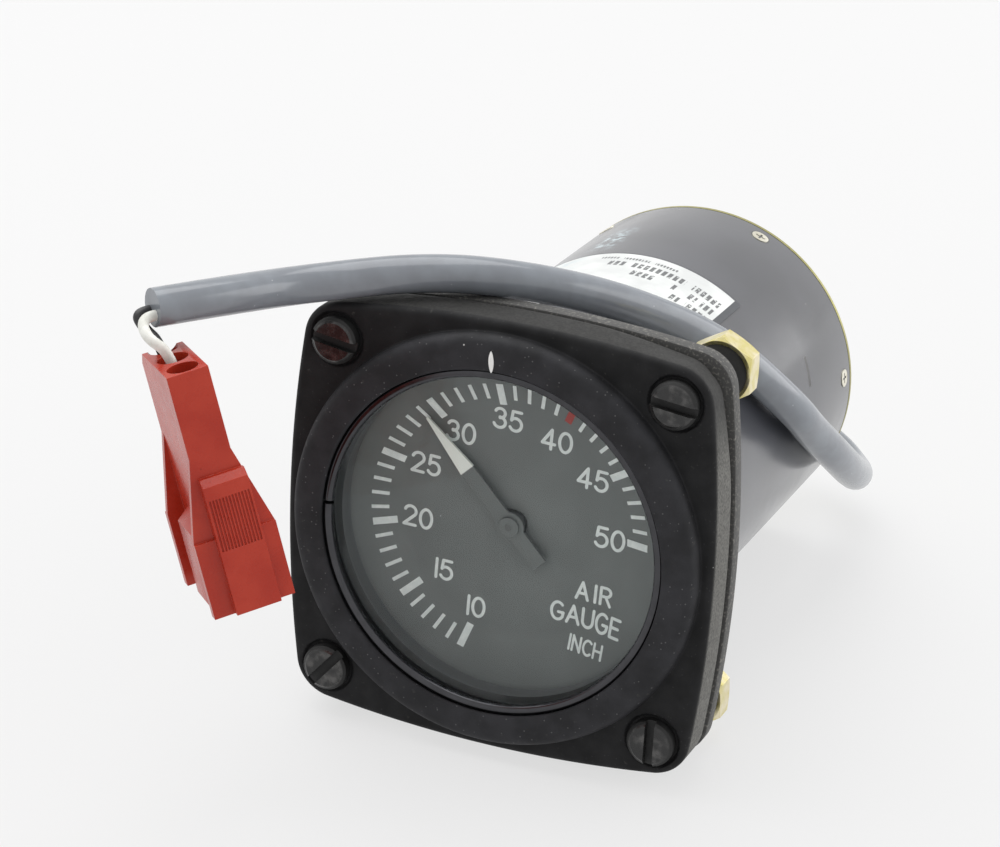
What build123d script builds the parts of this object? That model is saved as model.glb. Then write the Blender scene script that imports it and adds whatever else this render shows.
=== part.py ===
from build123d import *
from math import asin, atan2, cos, degrees, hypot, pi, radians, sin, sqrt, tan
import os

os.makedirs("parts", exist_ok=True)

# Fits
SEAT_GAP = 0.1
RUN_GAP = 0.05

# Flange and its screws
FLANGE_HALF = 30.15
FLANGE_BOW = 170.0
FLANGE_CORNER = 5.0
SCREW_EDGE = 6.58
BEZEL_THICK = 6.6
BEZEL_EDGE = 0.8
GASKET_THICK = 0.3
PLATE_THICK = 2.0
PLATE_INSET = 0.12
SPOT_RADIUS = 3.8
SPOT_DEEP = 0.5
SCREW_RADIUS = 1.7
SCREW_HEAD_RADIUS = 3.2
SCREW_HEAD_TALL = 1.9
SLOT_WIDE = 0.9
SLOT_DEEP = 1.0
SLOT_TURNS = (-22, -15, 32, 84)
COLLAR_RADIUS = 3.8
COLLAR_LONG = 6.0
NUT_FLATS = 8.45
NUT_THICK = 3.6
SCREW_STICKS_OUT = 1.2

# Pilot ring and glass
RING_INSET = 1.55
RING_CREST_INSET = 1.2
RING_CREST = 2.0
RING_LIP = 1.6
PILOT_LONG = 1.2
LIP_INSET = 4.35
LEDGE_STEP = 1.35
SNAP_WIRE = 1.2
SNAP_GAP_TURN = 177.0
SNAP_GAP_WIDE = 0.45
GLASS_PLAY = 0.25
GLASS_FRONT = -0.3
GLASS_THICK = 2.0
GLASS_GASKET = 0.4

# Dial and pointer
DIAL_INSET = 0.75
DIAL_RIM = 4.25
DIAL_RIM_WIDE = 0.9
DIAL_FLAT = 6.4
DIAL_CONE_WIDE = 6.4
DIAL_THICK = 0.8
DIAL_HOLE = 2.0
TICK_INSET = 3.7
TICK_LONG = 3.35
TICK_SHORT = 2.4
TICK_WIDE = 1.0
TICK_THIN = 0.5
PAINT = 0.05
SCALE_LOW = 10
SCALE_HIGH = 50
SCALE_TOP_VALUE = 35
SCALE_TOP_TURN = -6.1
SCALE_STEP = 6.25
SCALE_MAJOR = 5
RED_VALUE = 40
POINTER_FRONT = 5.0
POINTER_THICK = 0.4
POINTER_SHORT = 1.75
POINTER_SHOULDER = 9.4
POINTER_WIDE = 2.3
POINTER_TIP_WIDE = 0.35
POINTER_TAIL = 6.5
POINTER_HUB = 2.0
READING = 28.95

# Case and cover
CASE_RADIUS = 24.37
CASE_WALL = 2.0
CASE_REAR = 77.2
COVER_EDGE = 0.8
COVER_FLOOR = 75.8
SPIGOT_FRONT = 71.0
SPIGOT_GAP = 0.1
SPIGOT_WALL = 2.2
SEAL_DEPTH = 72.5
SEAL_SECTION = 0.58
LUG_TURNS = (110, 230, 310)
LUG_FRONT = 11.5
LUG_LONG = 4.0
LUG_WIDE = 6.0
LUG_TALL = 4.37
LUG_SCREW_INSET = 2.07
COVER_SCREW_DEPTH = 74.3
COVER_SCREW_TURN = 7.0
COVER_SCREW_COUNT = 6
COVER_SCREW_HEAD = 1.3
COVER_SCREW_SHANK = 0.8
LABEL_FRONT = 26.0
LABEL_REAR = 51.2
LABEL_START = 53.0
LABEL_END = 135.0
LABEL_THICK = 0.18

# Pressure port and cable gland
PORT_X = -7.0
PORT_Z = 6.0
PORT_FLATS = 14.3
PORT_HEX_LONG = 8.0
PORT_NOSE = 3.0
PORT_BORE = 4.3
PORT_BORE_LONG = 9.0
PORT_SHANK = 5.0
PORT_ORIFICE = 0.8
GLAND_X = 5.0
GLAND_Z = -8.0
GLAND_RADIUS = 4.6
GLAND_NECK = 3.4
GLAND_FACE = 1.5
GLAND_LIP = 1.0

# Cable, wires and connector
CABLE_DIAMETER = 5.05
WIRE_DIAMETER = 1.4
LEAD_DIAMETER = 1.2
BEND_SHARE = 0.45
CONNECTOR_CORNER = (-31.05, -32.11, 27.08)
CONNECTOR_ACROSS = (0.70, 0.67, 0.24)
CONNECTOR_UP = (-0.26, -0.07, 0.96)
CONNECTOR_WIDE = 5.4
CONNECTOR_DEEP = 14.5
CONNECTOR_LONG = 31.7
FLARE_TOP = 11.0
FLARE_END = 21.6
FLARE_LEFT = 2.3
FLARE_RIGHT = 3.0
RAIL_DEEP = 3.3
RAIL_MIDDLE = 2.0
SKIRT = 0.5
PAD_LEFT = 0.4
PAD_WIDE = 5.9
PAD_TOP = 13.6
PAD_STANDS = 1.5
PAD_RIBS = 13
PAD_RIB_TOP = 16.3
PAD_RIB_LONG = 6.8
PAD_RIB_DEEP = 0.2
CIRCUIT_PITCH = 4.9
CIRCUIT_FIRST = 2.4
CIRCUIT_RADIUS = 2.0
CIRCUIT_MOUTH = 8.0
TERMINAL_RADIUS = 1.35
TERMINAL_TOP = 5.0
TERMINAL_LONG = 24.0

# Movement
PLATE_GAP = 0.77
MOVEMENT_PLATE = 1.5
FRONT_PLATE = 10.0
MIDDLE_PLATE = 18.0
REAR_PLATE = 63.0
PILLAR_RADIUS = 1.5
PILLAR_INSET = 2.0
PILLAR_TURNS = (20, 160, 270)
SMALL_SCREW = 0.8
SMALL_SCREW_HEAD = 1.5
SMALL_SCREW_HEAD_TALL = 0.7
SMALL_SCREW_LONG = 4.0
LEAD_HOLE = 1.7
LEAD_INSET = 1.61
LEAD_TURN = -75.0
LEAD_SAG = 0.2
LEAD_SHARES = (0.25, 0.54, 0.76, 0.92)
BOARD_GAP = 0.57
BOARD_WIDE = 4.8
BOARD_THICK = 0.8
LAMP_RADIUS = 1.5
LAMP_TALL = 1.0
LAMP_COUNT = 6
MODULE = 0.25
PINION_TEETH = 12
GEAR_TEETH = 120
SECTOR_TEETH = 13
PRESSURE_ANGLE = 20.0
GEAR_BACKLASH = 0.03
ROCKER_X = 6.0
SHAFT_RADIUS = 0.5
ROCKER_RADIUS = 0.9
PIVOT_RADIUS = 0.4
SECTOR_FRONT = 13.4
SECTOR_THICK = 1.2
CRANK_LONG = 6.0
CRANK_PIN = 0.5
LINK_PIN_PLAY = 0.25
LINK_THICK = 1.0
CAPSULE_DEPTH = 42.0
CAPSULE_RADIUS = 15.0
CAPSULE_BOTTOM = -13.0
CAPSULE_TOP = -2.0
CAPSULE_COUNT = 3
STRAP_THICK = 1.5
STRAP_WIDE = 10.0
SPRING_TURNS = 4
SPRING_INNER = 1.5
SPRING_PITCH = 0.85
SPRING_THICK = 0.16
SPRING_TALL = 0.6

# Sizes that follow from the ones above
SCREW_HALF = FLANGE_HALF - SCREW_EDGE
SCREW_PLACES = [(-SCREW_HALF, SCREW_HALF), (SCREW_HALF, SCREW_HALF),
                (-SCREW_HALF, -SCREW_HALF), (SCREW_HALF, -SCREW_HALF)]
RING_RADIUS = FLANGE_HALF - RING_INSET
RING_CREST_RADIUS = RING_RADIUS - RING_CREST_INSET
LIP_RADIUS = RING_RADIUS - LIP_INSET
LEDGE_RADIUS = LIP_RADIUS - LEDGE_STEP
GLASS_RADIUS = LIP_RADIUS - GLASS_PLAY
DIAL_RADIUS = LIP_RADIUS - DIAL_INSET
DIAL_RIM_RADIUS = DIAL_RADIUS - DIAL_RIM_WIDE
DIAL_FLAT_RADIUS = DIAL_RIM_RADIUS - DIAL_CONE_WIDE
TICK_OUTER = DIAL_RADIUS - TICK_INSET
POINTER_TIP = TICK_OUTER - POINTER_SHORT
PLATE_FRONT = BEZEL_THICK + GASKET_THICK
PLATE_REAR = PLATE_FRONT + PLATE_THICK
NUT_FRONT = PLATE_REAR + COLLAR_LONG
NUT_REAR = NUT_FRONT + NUT_THICK
CASE_INNER = CASE_RADIUS - CASE_WALL
GLASS_REAR = GLASS_FRONT + GLASS_THICK
LEDGE_FRONT = GLASS_REAR + GLASS_GASKET
DIAL_SLOPE = (DIAL_FLAT - DIAL_RIM) / (DIAL_RIM_RADIUS - DIAL_FLAT_RADIUS)
SCREW_HOLE = SCREW_RADIUS + SEAT_GAP
COVER_REAR = CASE_REAR + COVER_EDGE
SPIGOT_RADIUS = CASE_INNER - SPIGOT_GAP
LUG_INNER = CASE_INNER - LUG_TALL
LUG_SCREW_RADIUS = CASE_INNER - LUG_SCREW_INSET
PLATE_RADIUS = CASE_INNER - PLATE_GAP
PILLAR_CIRCLE = PLATE_RADIUS - PILLAR_INSET
BOARD_OUTER = CASE_INNER - BOARD_GAP
BOARD_INNER = BOARD_OUTER - BOARD_WIDE
LAMP_CIRCLE = (BOARD_OUTER + BOARD_INNER) / 2
LEAD_X = (PLATE_RADIUS - LEAD_INSET) * cos(radians(LEAD_TURN))
LEAD_Z = (PLATE_RADIUS - LEAD_INSET) * sin(radians(LEAD_TURN))
TAB_TALL = STRAP_WIDE * 0.6
PORT_REAR = COVER_REAR + PORT_HEX_LONG + PORT_NOSE
GLAND_REAR = COVER_REAR + GLAND_FACE
PINION_PITCH = MODULE * PINION_TEETH / 2
GEAR_PITCH = MODULE * GEAR_TEETH / 2
CENTRES = PINION_PITCH + GEAR_PITCH
ROCKER_Z = sqrt(CENTRES ** 2 - ROCKER_X ** 2)
MESH_TURN = degrees(atan2(ROCKER_Z, ROCKER_X))
SNAP_RADIUS = LIP_RADIUS - SNAP_WIRE / 2
BOARD_REAR = FRONT_PLATE - SMALL_SCREW_HEAD_TALL - SEAT_GAP
BOARD_FRONT = BOARD_REAR - BOARD_THICK


def polar(radius, turn):
    """X and Z at a radius and an angle from +X towards +Z."""
    return radius * cos(radians(turn)), radius * sin(radians(turn))


def at(x, z, y=0.0):
    """Location of a piece whose own axis is parallel to Y."""
    return Pos(x, y, z)


def slab(profile, front, rear):
    """Profile drawn in X and Z, thickened from the front depth to the rear depth."""
    return extrude(Plane.XZ.offset(-front) * profile, amount=rear - front, dir=(0, 1, 0))


def rod(radius, front, rear):
    """Round bar along Y."""
    return slab(Circle(radius), front, rear)


def turned(*points):
    """Body turned about Y from a half profile of radius and depth."""
    return revolve(make_face(Polyline(*points, close=True)), Axis.Y)


def clockwise(turn):
    """Rotation about Y that is clockwise seen from the front."""
    return Rotation(0, turn, 0)


def save(shape, name):
    """Write one piece."""
    shape.label = name
    export_step(shape, os.path.join("parts", name + ".step"))
    print(name, round(shape.volume, 2), "mm3")


def group(solids):
    """Separate solids that make one piece of the list."""
    return Compound(children=[solid for shape in solids for solid in shape.solids()])


def bowed_square(inset):
    """Square with four bowed sides and round corners."""
    shift = FLANGE_BOW - FLANGE_HALF
    disc = Circle(FLANGE_BOW - inset)
    square = Pos(shift, 0) * disc & Pos(-shift, 0) * disc & Pos(0, shift) * disc & Pos(0, -shift) * disc
    return fillet(square.vertices(), FLANGE_CORNER)


def round_tube(points, diameter, name):
    """Round tube along straight runs joined by tangent arcs."""
    places = [Vector(*point) for point in points]
    runs = [(b - a).length for a, b in zip(places, places[1:])]
    bends = []
    for before, corner, after in zip(places, places[1:], places[2:]):
        bend = radians((corner - before).get_angle(after - corner))
        shorter = min((corner - before).length, (after - corner).length)
        bends.append(BEND_SHARE * shorter / tan(bend / 2))
    line = FilletPolyline(*places, radius=bends)
    section = Plane(origin=places[0], z_dir=places[1] - places[0]) * Circle(diameter / 2)
    tube = sweep(section, path=line)
    print(name, "radii", [round(bend, 1) for bend in bends])
    print(name, "length", round(line.length, 1), "volume share",
          round(tube.volume / (pi * diameter ** 2 / 4 * line.length), 4))
    return tube


# Bezel
def make_bezel():
    flange = slab(bowed_square(0), 0, BEZEL_THICK)
    flange = fillet(flange.faces().sort_by(Axis.Y)[0].edges(), BEZEL_EDGE)
    ring = turned((LIP_RADIUS, SEAT_GAP), (LIP_RADIUS, -RING_LIP),
                  (LIP_RADIUS + BEZEL_EDGE / 2, -RING_LIP - SEAT_GAP),
                  (RING_CREST_RADIUS - 1, -RING_CREST), (RING_CREST_RADIUS, -RING_CREST + SEAT_GAP / 2),
                  (RING_RADIUS - BEZEL_EDGE / 2, -RING_CREST + BEZEL_EDGE / 3), (RING_RADIUS, -PILOT_LONG),
                  (RING_RADIUS, SEAT_GAP))
    bore = turned((0, -RING_CREST), (LIP_RADIUS, -RING_CREST), (LIP_RADIUS, LEDGE_FRONT),
                  (LEDGE_RADIUS, LEDGE_FRONT),
                  (LEDGE_RADIUS, DIAL_RIM), (DIAL_RADIUS + SEAT_GAP, DIAL_RIM),
                  (DIAL_RADIUS + SEAT_GAP, BEZEL_THICK),
                  (0, BEZEL_THICK))
    body = flange + ring - bore
    for x, z in SCREW_PLACES:
        body -= at(x, z) * rod(SCREW_HOLE, 0, BEZEL_THICK)
        body -= at(x, z) * rod(SPOT_RADIUS, 0, SPOT_DEEP)
    return body


# Split ring that holds the glass
def make_snap_ring():
    ring = revolve(Pos(SNAP_RADIUS, GLASS_FRONT - SNAP_WIRE / 2) * Circle(SNAP_WIRE / 2), Axis.Y)
    x, z = polar(SNAP_RADIUS, SNAP_GAP_TURN)
    gap = Box(2 * SNAP_WIRE, 2 * SNAP_WIRE, SNAP_GAP_WIDE)
    return ring - Pos(x, GLASS_FRONT - SNAP_WIRE / 2, z) * gap


def make_glass():
    return rod(GLASS_RADIUS, GLASS_FRONT, GLASS_REAR)


def make_glass_gasket():
    return slab(Circle(GLASS_RADIUS) - Circle(LEDGE_RADIUS), GLASS_REAR, LEDGE_FRONT)


def make_flange_gasket():
    return slab(Circle(LIP_RADIUS + RING_CREST) - Circle(DIAL_RADIUS + SEAT_GAP), BEZEL_THICK, PLATE_FRONT)


# Corner fasteners
def make_mounting_screws():
    screws = []
    head_front = SPOT_DEEP - SCREW_HEAD_TALL
    rear = NUT_REAR + SCREW_STICKS_OUT
    for (x, z), turn in zip(SCREW_PLACES, SLOT_TURNS):
        screw = turned((0, head_front), (SCREW_HEAD_RADIUS * 0.8, head_front),
                       (SCREW_HEAD_RADIUS, head_front + 0.5),
                       (SCREW_HEAD_RADIUS, SPOT_DEEP), (SCREW_RADIUS, SPOT_DEEP), (SCREW_RADIUS, rear - 0.4),
                       (SCREW_RADIUS - 0.4, rear), (0, rear))
        slot = Box(3 * SCREW_HEAD_RADIUS, 2 * SLOT_DEEP, SLOT_WIDE)
        screw -= Pos(0, head_front, 0) * Rotation(0, -turn, 0) * slot
        screws.append(at(x, z) * screw)
    return group(screws)


def make_nut_collars():
    collar = slab(Circle(COLLAR_RADIUS) - Circle(SCREW_RADIUS + RUN_GAP), PLATE_REAR, NUT_FRONT)
    return group([at(x, z) * collar for x, z in SCREW_PLACES])


def make_mounting_nuts():
    hexagon = RegularPolygon(NUT_FLATS / 2, 6, major_radius=False, rotation=30)
    nut = slab(hexagon - Circle(SCREW_RADIUS + RUN_GAP), NUT_FRONT, NUT_REAR)
    corner = NUT_FLATS / sqrt(3)
    cone = turned((0, NUT_FRONT), (NUT_FLATS / 2, NUT_FRONT), (corner, NUT_FRONT + 0.4),
                  (corner, NUT_REAR - 0.4),
                  (NUT_FLATS / 2, NUT_REAR), (0, NUT_REAR))
    nut &= cone
    return group([at(x, z) * nut for x, z in SCREW_PLACES])


# Case
def make_case():
    plate = slab(bowed_square(PLATE_INSET), PLATE_FRONT, PLATE_REAR)
    body = plate + rod(CASE_RADIUS, PLATE_FRONT, CASE_REAR) - rod(CASE_INNER, PLATE_FRONT, CASE_REAR)
    for turn in LUG_TURNS:
        lug = Box(CASE_INNER - LUG_INNER + CASE_WALL / 2, LUG_LONG, LUG_WIDE,
                  align=(Align.MIN, Align.MIN, Align.CENTER))
        body += Rotation(0, -turn, 0) * Pos(LUG_INNER, LUG_FRONT, 0) * lug
    for turn in LUG_TURNS:
        x, z = polar(LUG_SCREW_RADIUS, turn)
        body -= at(x, z) * rod(SMALL_SCREW + RUN_GAP, LUG_FRONT, LUG_FRONT + LUG_LONG)
    for x, z in SCREW_PLACES:
        body -= at(x, z) * rod(SCREW_HOLE, PLATE_FRONT, PLATE_REAR)
    for pose in cover_screw_poses():
        body -= pose * cover_screw_form(RUN_GAP, CASE_WALL + SEAT_GAP)
    return body


def make_label():
    sector = Circle(CASE_RADIUS + LABEL_THICK) - Circle(CASE_RADIUS)
    ray = 2 * CASE_RADIUS
    middle = (LABEL_START + LABEL_END) / 2
    wedge = Polygon((0, 0), polar(ray, LABEL_START), polar(2 * ray, middle), polar(ray, LABEL_END),
                    align=None)
    return slab(sector & wedge, LABEL_FRONT, LABEL_REAR)


# Cover and its screws
def cover_screw_poses():
    step = 360 / COVER_SCREW_COUNT
    turns = [COVER_SCREW_TURN + step * i for i in range(COVER_SCREW_COUNT)]
    out = Pos(CASE_RADIUS, COVER_SCREW_DEPTH, 0) * Rotation(0, 90, 0)
    return [Rotation(0, -turn, 0) * out for turn in turns]


def cover_screw_form(gap, long):
    """Countersunk form along its own Z, head face at zero."""
    head = COVER_SCREW_HEAD + gap
    shank = COVER_SCREW_SHANK + gap
    profile = Polygon((0, gap), (head, gap), (head, -0.2), (shank, -0.2 - head + shank), (shank, -long),
                      (0, -long), align=None)
    return revolve(Plane.XZ * profile, Axis.Z)


def make_cover_screws():
    screw = cover_screw_form(0, CASE_WALL + SPIGOT_GAP + SPIGOT_WALL - 0.3)
    screw -= Box(1.5, 0.35, 0.7) + Box(0.35, 1.5, 0.7)
    screw -= Pos(0, 0, 0.5) * Box(4, 4, 1.1)
    return group([pose * screw for pose in cover_screw_poses()])


def make_rear_cover():
    inner = SPIGOT_RADIUS - SPIGOT_WALL
    seal_floor = CASE_INNER - 2 * SEAL_SECTION
    body = turned((0, COVER_FLOOR), (inner, COVER_FLOOR), (inner, SPIGOT_FRONT),
                  (SPIGOT_RADIUS, SPIGOT_FRONT),
                  (SPIGOT_RADIUS, SEAL_DEPTH - SEAL_SECTION), (seal_floor, SEAL_DEPTH - SEAL_SECTION),
                  (seal_floor, SEAL_DEPTH + SEAL_SECTION), (SPIGOT_RADIUS, SEAL_DEPTH + SEAL_SECTION),
                  (SPIGOT_RADIUS, CASE_REAR), (CASE_RADIUS, CASE_REAR), (CASE_RADIUS, COVER_REAR - 0.2),
                  (CASE_RADIUS - 0.2, COVER_REAR), (0, COVER_REAR))
    body -= at(PORT_X, PORT_Z) * rod(PORT_SHANK, COVER_FLOOR, COVER_REAR)
    body -= at(GLAND_X, GLAND_Z) * rod(GLAND_NECK, COVER_FLOOR, COVER_REAR)
    for pose in cover_screw_poses():
        hole = Cylinder(COVER_SCREW_SHANK + RUN_GAP, 2 * (CASE_WALL + SPIGOT_GAP + SPIGOT_WALL + SEAT_GAP))
        body -= pose * hole
    return body


def make_cover_seal():
    return revolve(Pos(CASE_INNER - SEAL_SECTION, SEAL_DEPTH) * Circle(SEAL_SECTION), Axis.Y)


# Pressure port and gland
def make_port_fitting():
    hexagon = slab(RegularPolygon(PORT_FLATS / 2, 6, major_radius=False), COVER_REAR,
                   COVER_REAR + PORT_HEX_LONG)
    corner = PORT_FLATS / sqrt(3)
    hexagon &= turned((0, COVER_REAR), (corner, COVER_REAR), (corner, COVER_REAR + PORT_HEX_LONG - 0.7),
                      (PORT_FLATS / 2, COVER_REAR + PORT_HEX_LONG), (0, COVER_REAR + PORT_HEX_LONG))
    nose = rod(PORT_FLATS / 2 - 0.8, COVER_REAR, PORT_REAR)
    shank = rod(PORT_SHANK, COVER_FLOOR - 1.0, COVER_REAR)
    bore = rod(PORT_BORE, PORT_REAR - PORT_BORE_LONG, PORT_REAR)
    orifice = rod(PORT_ORIFICE, COVER_FLOOR - 1.0, PORT_REAR)
    return at(PORT_X, PORT_Z) * (hexagon + nose + shank - bore - orifice)


def make_gland():
    body = turned((0, COVER_FLOOR - GLAND_LIP), (GLAND_RADIUS - 0.6, COVER_FLOOR - GLAND_LIP),
                  (GLAND_RADIUS - 0.2, COVER_FLOOR),
                  (GLAND_NECK, COVER_FLOOR), (GLAND_NECK, COVER_REAR), (GLAND_RADIUS, COVER_REAR),
                  (GLAND_RADIUS, COVER_REAR + 0.9), (GLAND_RADIUS - 1.1, GLAND_REAR), (0, GLAND_REAR))
    return at(GLAND_X, GLAND_Z) * body


# Cable and its wires
def cable_points():
    return [(GLAND_X, GLAND_REAR, GLAND_Z), (5, 86.2, -8), (10.5, 91.2, -10.5), (19, 91, -14.5),
            (24.6, 85.5, -16.2), (27, 74, -11.6), (28.2, 59.2, -3.2), (26.9, 49.6, 3.8), (26.3, 42.2, 9.5),
            (18.7, 32, 20.7), (8, 22.5, 27.5), (-1.6, 12.1, 31.9), (-13.1, 6.1, 33), (-26.8, -0.4, 30.9),
            (-34, -15.5, 32), (-38.8, -21.7, 31.7)]


def connector_plane():
    return Plane(origin=CONNECTOR_CORNER, x_dir=CONNECTOR_ACROSS, z_dir=CONNECTOR_UP)


def circuit_place(index, down):
    """Point on the axis of one circuit, a distance below the top of the housing."""
    local = Vector(CONNECTOR_WIDE / 2, CIRCUIT_FIRST + CIRCUIT_PITCH * index, -down)
    return connector_plane().from_local_coords(local)


def wire_points(side, bulge, index):
    """Run from the end of the jacket round into a circuit of the housing."""
    last, tip = [Vector(*point) for point in cable_points()[-2:]]
    face = Plane(origin=tip, x_dir=(1, 0, 0), z_dir=tip - last)
    start = tip + face.x_dir * side - face.y_dir * 0.7
    mouth = circuit_place(index, -0.6)
    out = start + face.z_dir * 1.9
    middle = (out + mouth) * 0.5 + Vector(*bulge)
    return [start, out, middle, mouth, circuit_place(index, TERMINAL_TOP)]


# Connector
def make_housing():
    middle = CONNECTOR_WIDE / 2
    flare = Polygon((0, 0), (CONNECTOR_WIDE, 0), (CONNECTOR_WIDE, -FLARE_TOP),
                    (CONNECTOR_WIDE + FLARE_RIGHT, -FLARE_END),
                    (CONNECTOR_WIDE + FLARE_RIGHT, -CONNECTOR_LONG), (-FLARE_LEFT, -CONNECTOR_LONG),
                    (-FLARE_LEFT, -FLARE_END), (0, -FLARE_TOP), align=None)
    skirt = Polygon((-FLARE_LEFT, -FLARE_END), (CONNECTOR_WIDE + FLARE_RIGHT, -FLARE_END),
                    (CONNECTOR_WIDE + FLARE_RIGHT, -CONNECTOR_LONG), (-FLARE_LEFT, -CONNECTOR_LONG),
                    align=None)
    pad = Polygon((PAD_LEFT, -PAD_TOP), (PAD_LEFT + PAD_WIDE, -PAD_TOP),
                  (PAD_LEFT + PAD_WIDE, -CONNECTOR_LONG),
                  (PAD_LEFT, -CONNECTOR_LONG), align=None)
    core = Box(CONNECTOR_WIDE, CONNECTOR_DEEP, CONNECTOR_LONG, align=(Align.MIN, Align.MIN, Align.MAX))
    body = chamfer(core.edges().filter_by(Axis.X).group_by(Axis.Z)[-1].sort_by(Axis.Y)[-1], 1.6)
    spans = [(0, RAIL_DEEP), (CONNECTOR_DEEP / 2 - RAIL_MIDDLE / 2, CONNECTOR_DEEP / 2 + RAIL_MIDDLE / 2),
             (CONNECTOR_DEEP - RAIL_DEEP, CONNECTOR_DEEP)]
    for near, far in spans:
        rail = slab(flare, near, far)
        body += rail & Pos(0, 0, -CONNECTOR_LONG) * Box(50, 50, 2 * (CONNECTOR_LONG - FLARE_TOP))
    body += slab(skirt, -SKIRT, RAIL_DEEP)
    body += slab(skirt, CONNECTOR_DEEP - RAIL_DEEP, CONNECTOR_DEEP + SKIRT)
    for near, side in ((-PAD_STANDS, -1), (CONNECTOR_DEEP, 1)):
        plate = slab(pad, near, near + PAD_STANDS)
        outer = plate.faces().sort_by(Axis.Y)[0 if side < 0 else -1]
        top_edge = outer.edges().filter_by(Axis.X).sort_by(Axis.Z)[-1]
        plate = chamfer(top_edge, 0.9)
        pitch = PAD_WIDE / (PAD_RIBS + 1)
        face = -PAD_STANDS if side < 0 else CONNECTOR_DEEP + PAD_STANDS
        for i in range(PAD_RIBS):
            groove = Box(pitch / 2, 2 * PAD_RIB_DEEP, PAD_RIB_LONG,
                         align=(Align.CENTER, Align.CENTER, Align.MAX))
            plate -= Pos(PAD_LEFT + pitch * (i + 1), face, -PAD_RIB_TOP) * groove
        body += plate
    for i in range(3):
        place = CIRCUIT_FIRST + CIRCUIT_PITCH * i
        body -= Pos(middle, place, 0) * Cylinder(CIRCUIT_RADIUS, CIRCUIT_MOUTH,
                                                 align=(Align.CENTER, Align.CENTER, Align.MAX))
        cavity = Cylinder(TERMINAL_RADIUS + SEAT_GAP, CONNECTOR_LONG,
                          align=(Align.CENTER, Align.CENTER, Align.MAX))
        body -= Pos(middle, place, 0) * cavity
    return connector_plane().location * body


def make_terminals():
    solids = []
    for index in (1, 2):
        top = circuit_place(index, TERMINAL_TOP)
        bottom = circuit_place(index, TERMINAL_TOP + TERMINAL_LONG)
        section = Plane(origin=top, z_dir=bottom - top)
        barrel = extrude(section * Circle(TERMINAL_RADIUS - 0.2), amount=TERMINAL_LONG / 2)
        collar = extrude(section.offset(TERMINAL_LONG / 4) * Circle(TERMINAL_RADIUS), amount=2)
        pin = extrude(section * Circle(TERMINAL_RADIUS - 0.5), amount=TERMINAL_LONG)
        solids.append(barrel + collar + pin)
    return group(solids)


# Dial
def dial_front(radius):
    """Depth of the dial's front face at a radius."""
    return DIAL_FLAT - max(0.0, radius - DIAL_FLAT_RADIUS) * DIAL_SLOPE


def make_dial():
    body = turned((DIAL_HOLE, DIAL_FLAT), (DIAL_FLAT_RADIUS, DIAL_FLAT), (DIAL_RIM_RADIUS, DIAL_RIM),
                  (DIAL_RADIUS, DIAL_RIM),
                  (DIAL_RADIUS, DIAL_RIM + DIAL_THICK), (DIAL_RIM_RADIUS, DIAL_RIM + DIAL_THICK),
                  (DIAL_FLAT_RADIUS, DIAL_FLAT + DIAL_THICK), (DIAL_HOLE, DIAL_FLAT + DIAL_THICK))
    for turn in (90, 270):
        x, z = polar(DIAL_FLAT_RADIUS - 2, turn)
        body += at(x, z) * rod(SMALL_SCREW, DIAL_FLAT + DIAL_THICK / 2, FRONT_PLATE)
    return body


def value_turn(value):
    """Clockwise angle from the top of one reading."""
    return SCALE_TOP_TURN + (value - SCALE_TOP_VALUE) * SCALE_STEP


def make_ticks():
    ticks = []
    for value in range(SCALE_LOW, SCALE_HIGH + 1):
        major = value % SCALE_MAJOR == 0
        long = TICK_LONG if major else TICK_SHORT
        if value == RED_VALUE:
            long = TICK_SHORT
        wide = TICK_WIDE if major else TICK_THIN
        middle = TICK_OUTER - long / 2
        lean = Rotation(degrees(atan2(DIAL_SLOPE, 1)), 0, 0)
        tick = Pos(0, dial_front(middle) - PAINT, middle) * lean * Box(wide, PAINT, long)
        ticks.append(clockwise(value_turn(value)) * tick)
    return group(ticks)


def make_pointer():
    half = POINTER_WIDE / 2
    blade = Polygon((-POINTER_TIP_WIDE / 2, POINTER_TIP), (-half, POINTER_SHOULDER), (-half, -POINTER_TAIL),
                    (half, -POINTER_TAIL), (half, POINTER_SHOULDER), (POINTER_TIP_WIDE / 2, POINTER_TIP),
                    align=None)
    body = slab(blade + Circle(POINTER_HUB), POINTER_FRONT, POINTER_FRONT + POINTER_THICK)
    body += rod(POINTER_HUB - 0.6, POINTER_FRONT - 0.4, DIAL_FLAT + DIAL_THICK)
    body -= rod(SHAFT_RADIUS, POINTER_FRONT - 0.4, DIAL_FLAT + DIAL_THICK)
    return clockwise(value_turn(READING)) * body


# Lighting
def make_lamp_board():
    board = slab(Circle(BOARD_OUTER) - Circle(BOARD_INNER), BOARD_FRONT, BOARD_REAR)
    for turn in (65, 185, 345):
        x, z = polar(PILLAR_CIRCLE, turn)
        board += at(x, z) * rod(LAMP_RADIUS, BOARD_REAR - SEAT_GAP, FRONT_PLATE)
    return board


def make_lamps():
    front = BOARD_FRONT - LAMP_TALL
    lamp = turned((0, front), (LAMP_RADIUS * 0.6, front + 0.15), (LAMP_RADIUS, front + 0.6),
                  (LAMP_RADIUS, BOARD_FRONT),
                  (0, BOARD_FRONT))
    places = [polar(LAMP_CIRCLE, 30 + 360 / LAMP_COUNT * i) for i in range(LAMP_COUNT)]
    return group([at(x, z) * lamp for x, z in places])


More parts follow.
